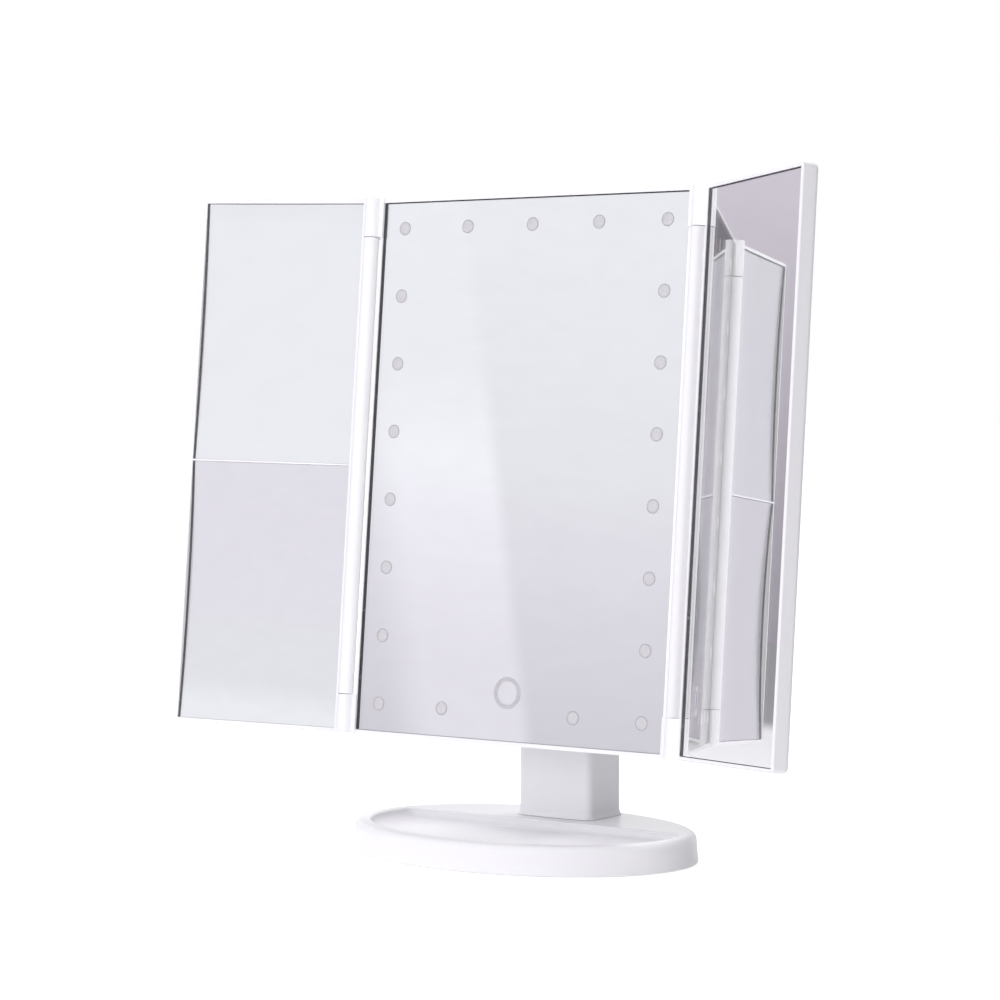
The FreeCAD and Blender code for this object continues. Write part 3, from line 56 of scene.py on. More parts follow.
MM = 0.001
WELD = 0.001 * MM           # corners closer than this are one corner
JOINTS = {joint["name"]: joint for joint in frame["joints"]}
WHITE_MOULDINGS = ("base_shell", "base_bottom_plate", "column_shell", "battery_door", "power_switch_knob",
                   "ear_cap", "centre_frame", "left_wing_tray", "right_wing_tray")


# ---- places taken from the frame ----------------------------------------------------------

def axes_matrix(across, up, origin):
    """A placement whose X runs across the mirror and whose Z runs up it."""
    back = up.cross(across)
    turn = Matrix((across, back, up)).transposed().to_4x4()
    return Matrix.Translation(origin) @ turn


def head_place():
    """The rest placement of the head, with its origin midway between the two fold axes."""
    left, right = JOINTS["left_wing_fold"], JOINTS["right_wing_fold"]
    middle = (Vector(left["pos_m"]) + Vector(right["pos_m"])) / 2
    return axes_matrix(Vector((1, 0, 0)), Vector(left["axis"]).normalized(), middle)


def wing_place(side):
    """The rest placement of a wing: side is 1 for the right wing and -1 for the left.

    The two fold axes point opposite ways, and the lower limit of a fold is the flat wing.
    """
    joint = JOINTS["right_wing_fold" if side > 0 else "left_wing_fold"]
    axis = Vector(joint["axis"]).normalized()
    fold = math.radians(-joint["range_deg"][0])
    across = Matrix.Rotation(fold, 3, axis) @ Vector((1, 0, 0))
    return axes_matrix(across, axis * -side, Vector(joint["pos_m"]))


def local_box(node, place):
    """The lowest and highest corner of a node, measured along the axes of a placement."""
    back = place.inverted()
    points = [back @ vertex.co for vertex in frame["nodes"][node].data.vertices]
    low = Vector(min(p[k] for p in points) for k in range(3))
    high = Vector(max(p[k] for p in points) for k in range(3))
    return low, high


def island_boxes(node, place):
    """The local box of every separate solid in a node."""
    bm = bmesh.new()
    bm.from_mesh(frame["nodes"][node].data)
    bmesh.ops.remove_doubles(bm, verts=bm.verts, dist=WELD)
    bmesh.ops.transform(bm, matrix=place.inverted(), verts=bm.verts)
    boxes, seen = [], set()
    for start in bm.verts:
        if start in seen:
            continue
        seen.add(start)
        island, queue = [], [start]
        while queue:
            vertex = queue.pop()
            island.append(vertex.co.copy())
            for edge in vertex.link_edges:
                other = edge.other_vert(vertex)
                if other not in seen:
                    seen.add(other)
                    queue.append(other)
        low = Vector(min(p[k] for p in island) for k in range(3))
        high = Vector(max(p[k] for p in island) for k in range(3))
        boxes.append((low, high))
    bm.free()
    return boxes


# ---- settings -----------------------------------------------------------------------------

def colour_setting(name, description, default):
    return FloatVectorProperty(name=name, description=description, subtype="COLOR", min=0, max=1,
                               default=default)


class VanityPlasticSettings(bpy.types.PropertyGroup):
    colour: colour_setting("Colour", "Colour of the white mouldings", (0.86, 0.855, 0.875))
    roughness: FloatProperty(name="Roughness", description="Roughness of the moulded skin", min=0, max=1,
                             default=0.26)
    rubber: colour_setting("Rubber", "Colour of the foot ring", (0.42, 0.42, 0.43))


class VanityMirrorSettings(bpy.types.PropertyGroup):
    silver: colour_setting("Silver", "Colour of the silver coat", (0.9, 0.9, 0.905))
    glass: colour_setting("Glass", "Tint of the glass", (0.99, 0.995, 0.992))
    edge_paint: colour_setting("Edge paint", "Dark paint on the cut edges", (0.017, 0.015, 0.026))
    edge_chip_and_glint: colour_setting("Edge chips", "Silver seen where the paint is chipped", (0.42, 0.42, 0.46))
    # flecks of this colour on the dark edge are chips in the paint and also painted glints
    bare_edge: colour_setting("Bare edge", "Colour of a cut edge without paint", (0.74, 0.73, 0.77))
    arris: FloatProperty(name="Arris", description="Width of the ground edge", unit="LENGTH",
                         default=0.12 * MM)
    concave_glass: FloatProperty(name="Magnifying glass", description="Thickness of the curved mirrors",
                                 unit="LENGTH", default=2 * MM)
    rows: IntProperty(name="Rows", description="Facets along a curved mirror", default=64, min=8)


class VanityLightSettings(bpy.types.PropertyGroup):
    frost: colour_setting("Frost", "Colour of the etched spots", (0.94, 0.925, 0.96))
    rim: colour_setting("Rim", "Colour of the spots' rims", (0.62, 0.605, 0.64))
    ring: colour_setting("Ring", "Colour of the touch ring", (0.79, 0.775, 0.81))
    rim_width: FloatProperty(name="Rim width", description="Width of the spots' rims", unit="LENGTH",
                             default=0.45 * MM)
    sheet: FloatProperty(name="Etched depth", description="Thickness of the etched spots", unit="LENGTH",
                         default=0.03 * MM)
    segments: IntProperty(name="Segments", description="Sides of each round spot", default=48, min=12)


class VanityStageSettings(bpy.types.PropertyGroup):
    eye: FloatVectorProperty(name="Eye", description="Place of the camera", subtype="TRANSLATION",
                             unit="LENGTH", default=(0.7214, -1.0614, 0.202))
    azimuth: FloatProperty(name="Azimuth", description="Turn of the camera to the right", subtype="ANGLE",
                           default=math.radians(34.65))
    elevation: FloatProperty(name="Elevation", description="Tilt of the camera downwards", subtype="ANGLE",
                             default=math.radians(2.22))
    lens: FloatProperty(name="Lens", description="Focal length on a 36 mm sensor", default=107.73)
    floor: colour_setting("Floor", "Colour of the floor", (0.9, 0.9, 0.9))
    floor_size: FloatProperty(name="Floor size", description="Width of the floor", unit="LENGTH",
                              default=24.0)


# ---- materials ----------------------------------------------------------------------------

class Nodes:
    """A node tree under construction, with short ways to add nodes and link them."""

    def __init__(self, tree, output):
        self.tree = tree
        self.tree.nodes.clear()
        self.output = self.add(output)

    def add(self, kind, **values):
        node = self.tree.nodes.new(kind)
        for key, value in values.items():
            setattr(node, key, value)
        return node

    def link(self, source, target):
        self.tree.links.new(source, target)

    def feed(self, socket, value):
        """Links an output to a socket, or writes a value on the socket."""
        if isinstance(value, bpy.types.NodeSocket):
            self.link(value, socket)
        else:
            socket.default_value = value

    def math(self, operation, *values):
        node = self.add("ShaderNodeMath", operation=operation)
        for socket, value in zip(node.inputs, values):
            self.feed(socket, value)
        return node.outputs[0]

    def spread(self, value, start, end, low=0.0, high=1.0, smooth=False):
        """Maps start to low and end to high, and holds the value beyond them."""
        node = self.add("ShaderNodeMapRange", interpolation_type="SMOOTHSTEP" if smooth else "LINEAR")
        for name, number in (("From Min", start), ("From Max", end), ("To Min", low), ("To Max", high)):
            node.inputs[name].default_value = number
        self.link(value, node.inputs["Value"])
        return node.outputs["Result"]

    def profile(self, value, stops):
        """A strength that runs through (value, strength) stops."""
        first, last = stops[0], stops[-1]
        ramp = self.add("ShaderNodeValToRGB")
        elements = ramp.color_ramp.elements
        elements[0].color = (first[1],) * 3 + (1,)
        elements[1].color = (last[1],) * 3 + (1,)
        for place, strength in stops[1:-1]:
            elements.new((place - first[0]) / (last[0] - first[0])).color = (strength,) * 3 + (1,)
        self.link(self.spread(value, first[0], last[0]), ramp.inputs["Fac"])
        return ramp.outputs["Color"]

    def mix(self, share, a, b):
        """Mixes two colours, or two greys, from a to b."""
        node = self.add("ShaderNodeMix", data_type="RGBA")
        sockets = {socket.identifier: socket for socket in node.inputs}
        self.feed(sockets["Factor_Float"], share)
        self.feed(sockets["A_Color"], a)
        self.feed(sockets["B_Color"], b)
        return node.outputs[2]


class Shader(Nodes):
    """A material under construction."""

    def __init__(self, name):
        self.material = bpy.data.materials.new(name)
        self.material.use_nodes = True
        super().__init__(self.material.node_tree, "ShaderNodeOutputMaterial")

    def principled(self, colour, roughness, **sockets):
        node = self.add("ShaderNodeBsdfPrincipled")
        node.inputs["Base Color"].default_value = (*colour, 1)
        node.inputs["Roughness"].default_value = roughness
        for name, value in sockets.items():
            node.inputs[name.replace("_", " ")].default_value = value
        self.link(node.outputs["BSDF"], self.output.inputs["Surface"])
        return node

    def noise(self, scale, detail=3.0, roughness=0.5):
        place = self.add("ShaderNodeTexCoord")
        node = self.add("ShaderNodeTexNoise")
        node.inputs["Scale"].default_value = scale
        node.inputs["Detail"].default_value = detail
        node.inputs["Roughness"].default_value = roughness
        self.link(place.outputs["Object"], node.inputs["Vector"])
        return node.outputs["Fac"]

    def uneven(self, noise, low, high):
        """Spreads the middle of a noise between two numbers."""
        return self.spread(noise, 0.3, 0.7, low, high)

    def tint(self, value, colour, dark):
        """A colour that a value between 0 and 1 darkens by up to the share dark."""
        return self.mix(value, (*[c * (1 - dark) for c in colour], 1), (*colour, 1))

    def bump(self, height, strength, distance, target):
        node = self.add("ShaderNodeBump")
        node.inputs["Strength"].default_value = strength
        node.inputs["Distance"].default_value = distance
        self.link(height, node.inputs["Height"])
        self.link(node.outputs["Normal"], target.inputs["Normal"])


def moulded_plastic(name, colour, roughness, grain, grain_depth):
    """Injection-moulded plastic: faint flow shade, uneven gloss and a fine skin."""
    shader = Shader(name)
    skin = shader.principled(colour, roughness, IOR=1.5)
    flow = shader.uneven(shader.noise(scale=14.0, detail=2.0), low=0.0, high=1.0)
    shader.link(shader.tint(flow, colour, dark=0.006), skin.inputs["Base Color"])
    gloss = shader.uneven(shader.noise(scale=60.0, detail=2.0), low=roughness * 0.96, high=roughness * 1.05)
    shader.link(gloss, skin.inputs["Roughness"])
    shader.bump(shader.noise(grain, detail=1.0), strength=0.2, distance=grain_depth, target=skin)
    return shader.material


def plain_metal(name, colour, roughness, scratch):
    """Turned or stamped metal with fine uneven polish."""
    shader = Shader(name)
    skin = shader.principled(colour, roughness, Metallic=1.0)
    scratches = shader.noise(scratch, detail=5.0, roughness=0.7)
    shader.link(shader.uneven(scratches, low=roughness * 0.7, high=roughness * 1.4), skin.inputs["Roughness"])
    tarnish = shader.uneven(shader.noise(scale=300.0), low=0.0, high=1.0)
    shader.link(shader.tint(tarnish, colour, dark=0.12), skin.inputs["Base Color"])
    return shader.material


def soft_material(name, colour, roughness, grain, depth, dark):
    """Rubber, foam, nylon, board or ground glass: matt, with a grain that darkens it unevenly."""
    shader = Shader(name)
    skin = shader.principled(colour, roughness)
    cells = shader.noise(grain, detail=3.0, roughness=0.6)
    shader.link(shader.tint(shader.uneven(cells, low=0.0, high=1.0), colour, dark), skin.inputs["Base Color"])
    shader.bump(cells, strength=0.5, distance=depth, target=skin)
    return shader.material


def mirror_glass(settings):
    """The clear front of the glass."""
    shader = Shader("mirror_glass")
    shader.principled(settings.glass, 0.0, IOR=1.52, Transmission_Weight=1.0)
    return shader.material


def silver_coat(settings):
    """The silvered back of the glass."""
    shader = Shader("silver_coat")
    shader.principled(settings.silver, 0.0, Metallic=1.0)
    return shader.material


def ground_edge(settings):
    """The cut edge of the glass, painted dark, with silver flecks that stand for chips in the paint and for
    painted glints.
    """
    shader = Shader("ground_glass_edge")
    skin = shader.principled(settings.edge_paint, 0.35, Specular_IOR_Level=0.15)
    # the flecks are chips in the paint and painted glints, put into the edge's colour
    chips_and_glints = shader.spread(shader.noise(scale=380.0, detail=4.0, roughness=0.65), start=0.62, end=0.7)
    edge = shader.mix(chips_and_glints, (*settings.edge_paint, 1), (*settings.edge_chip_and_glint, 1))
    shader.link(edge, skin.inputs["Base Color"])
    return shader.material


def bare_edge(settings):
    """The cut edge of the glass where it isn't painted."""
    return soft_material("bare_glass_edge", settings.bare_edge, 0.6, grain=900.0, depth=0.01 * MM, dark=0.05)


PAINTED_SPOT_GLOW = 0.27                 # painted glow: emission that brightens the etched spots in place of the light that the glass keeps from them


def frosted_spot_with_painted_glow(name, colour):
    """Etched glass over a diffuser, with a painted glow in place of the light that the glass keeps from it.
    """
    shader = Shader(name)
    # the emission is painted light: the spots, rims and ring glow though no lamp lights them from behind
    skin = shader.principled(colour, 0.55, Emission_Color=(*colour, 1), Emission_Strength=PAINTED_SPOT_GLOW)
    grain = shader.noise(scale=1800.0, detail=2.0)
    etching = shader.tint(shader.uneven(grain, low=0.0, high=1.0), colour, dark=0.04)
    shader.link(etching, skin.inputs["Base Color"])
    shader.bump(grain, strength=0.3, distance=0.02 * MM, target=skin)
    return shader.material


# metals: name, colour, roughness, scale of the scratches, and the pieces that are made of it
METALS = (
    ("zinc_plated_steel", (0.55, 0.56, 0.58), 0.28, 900.0,
     ("base_plate_screws", "column_screws", "head_screws", "tilt_screw", "tilt_nut", "tilt_spring_washer")),
    ("pin_steel", (0.6, 0.6, 0.61), 0.18, 1500.0, ("left_hinge_pins", "right_hinge_pins")),
    ("nickel_contact", (0.7, 0.68, 0.63), 0.22, 700.0, ("battery_contacts", "usb_socket")),
    ("turned_brass", (0.72, 0.52, 0.22), 0.25, 1200.0, ("tilt_bush",)),
)

# others: name, colour, roughness, scale and depth of the grain, how much it darkens, and the pieces
SOFT_MATERIALS = (
    ("cell_jacket", (0.1, 0.11, 0.13), 0.35, 500.0, 0.01 * MM, 0.1, ("battery_cells",)),
    ("circuit_board", (0.75, 0.78, 0.75), 0.4, 1500.0, 0.01 * MM, 0.08,
     ("charge_board", "led_boards", "control_board")),
    ("dark_plastic", (0.02, 0.02, 0.022), 0.45, 2000.0, 0.01 * MM, 0.2,
     ("power_switch_body", "control_board_components")),
    ("nylon", (0.8, 0.8, 0.76), 0.4, 1500.0, 0.01 * MM, 0.05, ("tilt_friction_washers",)),
    ("foam_tape", (0.8, 0.8, 0.8), 0.9, 3000.0, 0.08 * MM, 0.15,
     ("centre_mirror_tape", "left_mirror_pads", "right_mirror_tape")),
    ("diffuser", (0.8, 0.8, 0.83), 0.5, 2000.0, 0.01 * MM, 0.05, ("light_diffusers", "touch_ring_diffuser")),
    ("touch_foam", (0.08, 0.08, 0.085), 0.9, 3000.0, 0.08 * MM, 0.3, ("touch_pad",)),
    ("led_phosphor", (0.9, 0.8, 0.35), 0.3, 2500.0, 0.01 * MM, 0.1, ("led_chips",)),
    ("lead_jacket", (0.75, 0.74, 0.75), 0.5, 1800.0, 0.01 * MM, 0.06,
     ("power_lead", "head_lead", "board_jumpers")),
)


def cover(nodes, material):
    """Gives fixed pieces of the frame a finish."""
    for name in nodes:
        frame["nodes"][name].material_slots[0].material = material


# ---- mirrors ------------------------------------------------------------------------------

def piece(name, bm, place, materials, body):
    """Turns a bmesh in local axes into a finished piece that rides on a body."""
    bmesh.ops.transform(bm, matrix=place, verts=bm.verts)
    mesh = bpy.data.meshes.new(name)
    bm.to_mesh(mesh)
    bm.free()
    for material in materials:
        mesh.materials.append(material)
    made = bpy.data.objects.new(name, mesh)
    bpy.context.scene.collection.objects.link(made)
    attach(made, body)
    return made


MIRROR_FINISHES = {
    "mirror_glass": mirror_glass,
    "ground_glass_edge": ground_edge,
    "silver_coat": silver_coat,
    "bare_glass_edge": bare_edge,
}
FRONT, EDGE, BACK, BARE = range(len(MIRROR_FINISHES))
SQUARE_ON = 0.8             # a face turned this squarely forwards or back is the glass or the silver
UNDERSIDE = 0.6             # an edge turned this squarely downwards is the lower one


def mirror_materials():
    """The finishes of a mirror in the order of its slots, each made once."""
    settings = bpy.context.scene.vanity_mirror
    made = bpy.data.materials
    return [made[name] if name in made else make(settings) for name, make in MIRROR_FINISHES.items()]


def sort_faces(bm, bare_below=False):
    """Gives the front, the edges and the silvered back of a mirror their slots."""
    bm.normal_update()
    for face in bm.faces:
        if face.normal.y < -SQUARE_ON:
            face.material_index = FRONT
        elif face.normal.y > SQUARE_ON:
            face.material_index = BACK
        elif bare_below and face.normal.z < -UNDERSIDE:
            face.material_index = BARE
        else:
            face.material_index = EDGE


COAT_GAP = 0.08 * MM        # keeps the silver clear of the tape behind it
SHARP_EDGE = math.radians(40)
UPRIGHT = Matrix.Rotation(math.radians(90), 4, "X")     # stands a flat shape up to face the front


def flat_mirror(name, node, place, body, bare_below=False):
    """A flat mirror: a sheet as large as its node, with a narrow arris all round."""
    settings = bpy.context.scene.vanity_mirror
    low, high = local_box(node, place)
    high.y -= COAT_GAP
    bm = bmesh.new()
    bmesh.ops.create_cube(bm, size=1)
    size, middle = high - low, (low + high) / 2
    stretch = Matrix.Translation(middle) @ Matrix.Diagonal((*size, 1))
    bmesh.ops.transform(bm, matrix=stretch, verts=bm.verts)
    bmesh.ops.bevel(bm, geom=bm.edges[:], offset=settings.arris, segments=1, profile=0.5, affect="EDGES",
                    material=-1)
    sort_faces(bm, bare_below)
    made = piece(name, bm, place, mirror_materials(), body)
    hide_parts(node)
    return made


def curved_mirror(name, node, place, body):
    """A concave mirror: a grid sunk to a sphere through its corners, then given its thickness."""
    settings = bpy.context.scene.vanity_mirror
    low, high = local_box(node, place)
    size, middle = high - low, (low + high) / 2
    sag = size.y - settings.concave_glass
    thickness = settings.concave_glass - COAT_GAP
    reach = math.hypot(size.x, size.z) / 2
    curve = (reach ** 2 + sag ** 2) / (2 * sag)
    bm = bmesh.new()
    columns = round(settings.rows * size.x / size.z)
    bmesh.ops.create_grid(bm, x_segments=columns, y_segments=settings.rows, size=0.5)
    bmesh.ops.transform(bm, matrix=Matrix.Diagonal((size.x, 1, size.z, 1)) @ UPRIGHT, verts=bm.verts)
    for vertex in bm.verts:
        off = math.hypot(vertex.co.x, vertex.co.z)
        vertex.co.y = math.sqrt(curve ** 2 - off ** 2) - curve + sag
    bmesh.ops.recalc_face_normals(bm, faces=bm.faces)
    bm.normal_update()
    if bm.faces[0].normal.y > 0:
        bmesh.ops.reverse_faces(bm, faces=bm.faces)
    bmesh.ops.solidify(bm, geom=bm.faces[:], thickness=thickness)
    bmesh.ops.recalc_face_normals(bm, faces=bm.faces)
    for face in bm.faces:
        face.smooth = True
    sort_faces(bm)
    bmesh.ops.translate(bm, vec=(middle.x, low.y, middle.z), verts=bm.verts)
    made = piece(name, bm, place, mirror_materials(), body)
    made.data.set_sharp_from_angle(angle=SHARP_EDGE)
    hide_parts(node)
    return made


# ---- light spots and touch ring -----------------------------------------------------------

SPOT_LEAD = 2 * COAT_GAP    # sets the etched spots in front of the silver
RING_CLEARANCE = 0.2 * MM   # between the touch pad and the ring round it


def etched_spots(settings, place):
    """A thin disc with a rim in front of every light diffuser."""
    bm = bmesh.new()
    for low, high in island_boxes("light_diffusers", place):
        middle = (low + high) / 2
        middle.y = low.y - SPOT_LEAD - settings.sheet / 2
        radius = (high.x - low.x) / 2
        bmesh.ops.create_cone(bm, cap_ends=True, segments=settings.segments, radius1=radius, radius2=radius,
                              depth=settings.sheet, matrix=Matrix.Translation(middle) @ UPRIGHT)
    caps = [face for face in bm.faces if len(face.verts) > 4]
    bmesh.ops.inset_individual(bm, faces=caps, thickness=settings.rim_width)
    for face in bm.faces:
        face.material_index = 0 if face in caps else 1
    finishes = [frosted_spot_with_painted_glow("frosted_spot_with_painted_glow", settings.frost), frosted_spot_with_painted_glow("frosted_rim_with_painted_glow", settings.rim)]
    made = piece("etched_light_spots", bm, place, finishes, "head")
    return made


def etched_ring(settings, place):
    """A thin ring round the touch pad: a flat profile spun once round."""
    low, high = local_box("touch_ring_diffuser", place)
    pad_low, pad_high = local_box("touch_pad", place)
    outer = (high.x - low.x) / 2
    inner = (pad_high.x - pad_low.x) / 2 + RING_CLEARANCE
    middle = (low + high) / 2
    middle.y = low.y - SPOT_LEAD
    bm = bmesh.new()
    corners = ((inner, 0), (outer, 0), (outer, -settings.sheet), (inner, -settings.sheet))
    profile = [bm.verts.new(middle + Vector((x, y, 0))) for x, y in corners]
    loop = [bm.edges.new(pair) for pair in zip(profile, profile[1:] + profile[:1])]
    bmesh.ops.spin(bm, geom=profile + loop, cent=middle, axis=(0, 1, 0), angle=2 * math.pi,
                   steps=2 * settings.segments, use_merge=True)
    bmesh.ops.remove_doubles(bm, verts=bm.verts, dist=WELD)
    bmesh.ops.recalc_face_normals(bm, faces=bm.faces)
    made = piece("etched_touch_ring", bm, place, [frosted_spot_with_painted_glow("frosted_ring_with_painted_glow", settings.ring)], "head")
    return made


# ---- operators ----------------------------------------------------------------------------

GRAINED = 1.35              # how much rougher the rear cover's grained skin is


class VANITY_OT_plastic(bpy.types.Operator):
    """Gives the moulded casings and the foot ring their finish"""
    bl_idname = "vanity.plastic"
    bl_label = "Moulded casings"

    def execute(self, context):
        settings = context.scene.vanity_plastic
        colour, roughness = settings.colour, settings.roughness
        smooth = moulded_plastic("white_plastic", colour, roughness, grain=1400.0, grain_depth=0.004 * MM)
        grained = moulded_plastic("white_plastic_grained", colour, roughness * GRAINED, grain=1100.0,
                                  grain_depth=0.05 * MM)
        rubber = soft_material("foot_rubber", settings.rubber, 0.6, grain=2500.0, depth=0.02 * MM, dark=0.1)
        cover(WHITE_MOULDINGS, smooth)
        cover(("centre_rear_cover",), grained)
        cover(("foot_ring",), rubber)
        return {"FINISHED"}


class VANITY_OT_inner_pieces(bpy.types.Operator):
    """Gives the fasteners, boards, cells and foams their finish"""
    bl_idname = "vanity.inner_pieces"
    bl_label = "Inner pieces"

    def execute(self, context):
        for name, colour, roughness, scratch, nodes in METALS:
            cover(nodes, plain_metal(name, colour, roughness, scratch))
        for name, colour, roughness, grain, depth, dark, nodes in SOFT_MATERIALS:
            cover(nodes, soft_material(name, colour, roughness, grain, depth, dark))
        return {"FINISHED"}


class VANITY_OT_flat_mirrors(bpy.types.Operator):
    """Makes the centre mirror and the right wing's mirror"""
    bl_idname = "vanity.flat_mirrors"
    bl_label = "Flat mirrors"

    def execute(self, context):
        flat_mirror("centre_mirror_glass", "centre_mirror", head_place(), "head", bare_below=True)
        flat_mirror("right_mirror_glass", "right_mirror", wing_place(1), "right_wing")
        return {"FINISHED"}


class VANITY_OT_curved_mirrors(bpy.types.Operator):
    """Makes the two magnifying mirrors of the left wing"""
    bl_idname = "vanity.curved_mirrors"
    bl_label = "Magnifying mirrors"

    def execute(self, context):
        for level in ("upper", "lower"):
            curved_mirror(f"left_{level}_mirror_glass", f"left_{level}_mirror", wing_place(-1), "left_wing")
        return {"FINISHED"}


class VANITY_OT_light_spots(bpy.types.Operator):
    """Makes the etched light spots behind the centre glass"""
    bl_idname = "vanity.light_spots"
    bl_label = "Light spots"

    def execute(self, context):
        etched_spots(context.scene.vanity_lights, head_place())
        return {"FINISHED"}


class VANITY_OT_touch_ring(bpy.types.Operator):
    """Makes the etched touch ring behind the centre glass"""
    bl_idname = "vanity.touch_ring"
    bl_label = "Touch ring"

    def execute(self, context):
        etched_ring(context.scene.vanity_lights, head_place())
        return {"FINISHED"}


# ---- stage --------------------------------------------------------------------------------

# The walls that the mirrors reflect. Bearings are degrees from straight in front (-Y), growing towards +X,
# and heights are degrees above the table. A wall is a row of (height, strength).
FRONT_WALL = ((2, 0.85), (8.6, 0.85), (9.4, 0.93), (30, 0.96))
LEFT_FRONT_WALL = ((2, 0.7), (5, 0.8), (7.5, 0.875), (12, 0.92), (30, 0.96))
SIDE_WALL = ((-2, 0.93), (5, 0.98), (30, 1.0))
LEFT_WALL = ((-2, 0.36), (2, 0.47), (5, 0.56), (8, 0.68), (30, 0.85))
LEFT_FRONT_TURN = (-18, -28)            # the bearings over which one wall gives way to the next
SIDE_TURN = (-42, -52)
LEFT_TURN = (-77, -81)
BACK_TURN = (100, 135)                  # on both sides
DARK_CORNER = ((-94, 1.0), (-92, 0.8), (-88, 0.42), (-80, 0.42), (-77, 1.0), (-66, 1.0),
               (-60, 0.88), (-46, 0.88), (-42, 1.0))    # what all the walls are multiplied by, at bearings
PANEL = ((2, 0.15), (4, 0.1), (7.6, 0.12), (9.5, 0.035), (20, 0.0))     # the light panel's own strength
PANEL_LEFT = (-36.2, -35.1)             # the bearings over which its edges fade
PANEL_RIGHT = (-33.15, -33.55)
PANEL_LEAN = 0.23                       # degrees of bearing for each degree of height
LOW_TINT = (1.0, 0.97, 1.06, 1)
HIGH_TINT = (1.0, 1.01, 1.06, 1)
TINT_RISE = (5, 9)                      # the heights over which the low tint gives way to the high one
LEFT_TINT = (1.0, 0.93, 1.05, 1)
TINT_TURN = (-50, -80)                  # the bearings over which the left tint comes in
MOTTLE = (0.98, 1.02)                   # the backdrop's faint uneven shade
MOTTLE_SCALE = 90.0
MOTTLE_STRETCH = 2.5                    # how much longer its patches are across than up
WHITE = (1, 1, 1, 1)

# the soft light that the room throws on matt surfaces, at bearings
ROOM_LIGHT = ((-180, 0.85), (-110, 1.0), (-40, 0.92), (38, 1.0), (59, 0.22), (80, 0.02), (150, 0.03),
              (180, 0.85))
ROOM_TINT = (1.0, 0.985, 1.03)

PAINTED_POOL_EDGE = (1.6, 2.0)                 # metres over which the painted pool of light on the table gives way to the painted shade of the floor
# painted light: the table round the mirror glows and lights the mirror from below, though it is no lamp
PAINTED_POOL_GLOW = 0.17
PAINTED_POOL_TINT = (1, 0.99, 1.02, 1)
PAINTED_FAR_SHADE = 0.42                        # the floor's strength past the table, as the mirrors show it: painted shade for light falling off far away
FLOOR_GLOW = 0.5                        # keeps the floor white in the camera's view

# lamps: name, place, what it points at, diameter and power
LAMPS = (
    ("key", (0.1, -2.3, 0.55), (0, 0, 0.12), 1.6, 10.3),
    ("top", (0.1, -0.9, 2.0), (0, 0, 0.1), 1.2, 9.5),
    ("back", (0.15, 0.9, 1.5), (0, 0, 0.05), 0.6, 7),
    ("kicker", (1.45, -0.17, 0.4), (-0.08, 0, 0.16), 0.6, 8),
)
LIT_BY_KICKER = ("centre_frame", "left_wing_tray")     # it lights these alone, and these alone shade it
SENSOR = 36.0                           # width of the camera's sensor, in millimetres


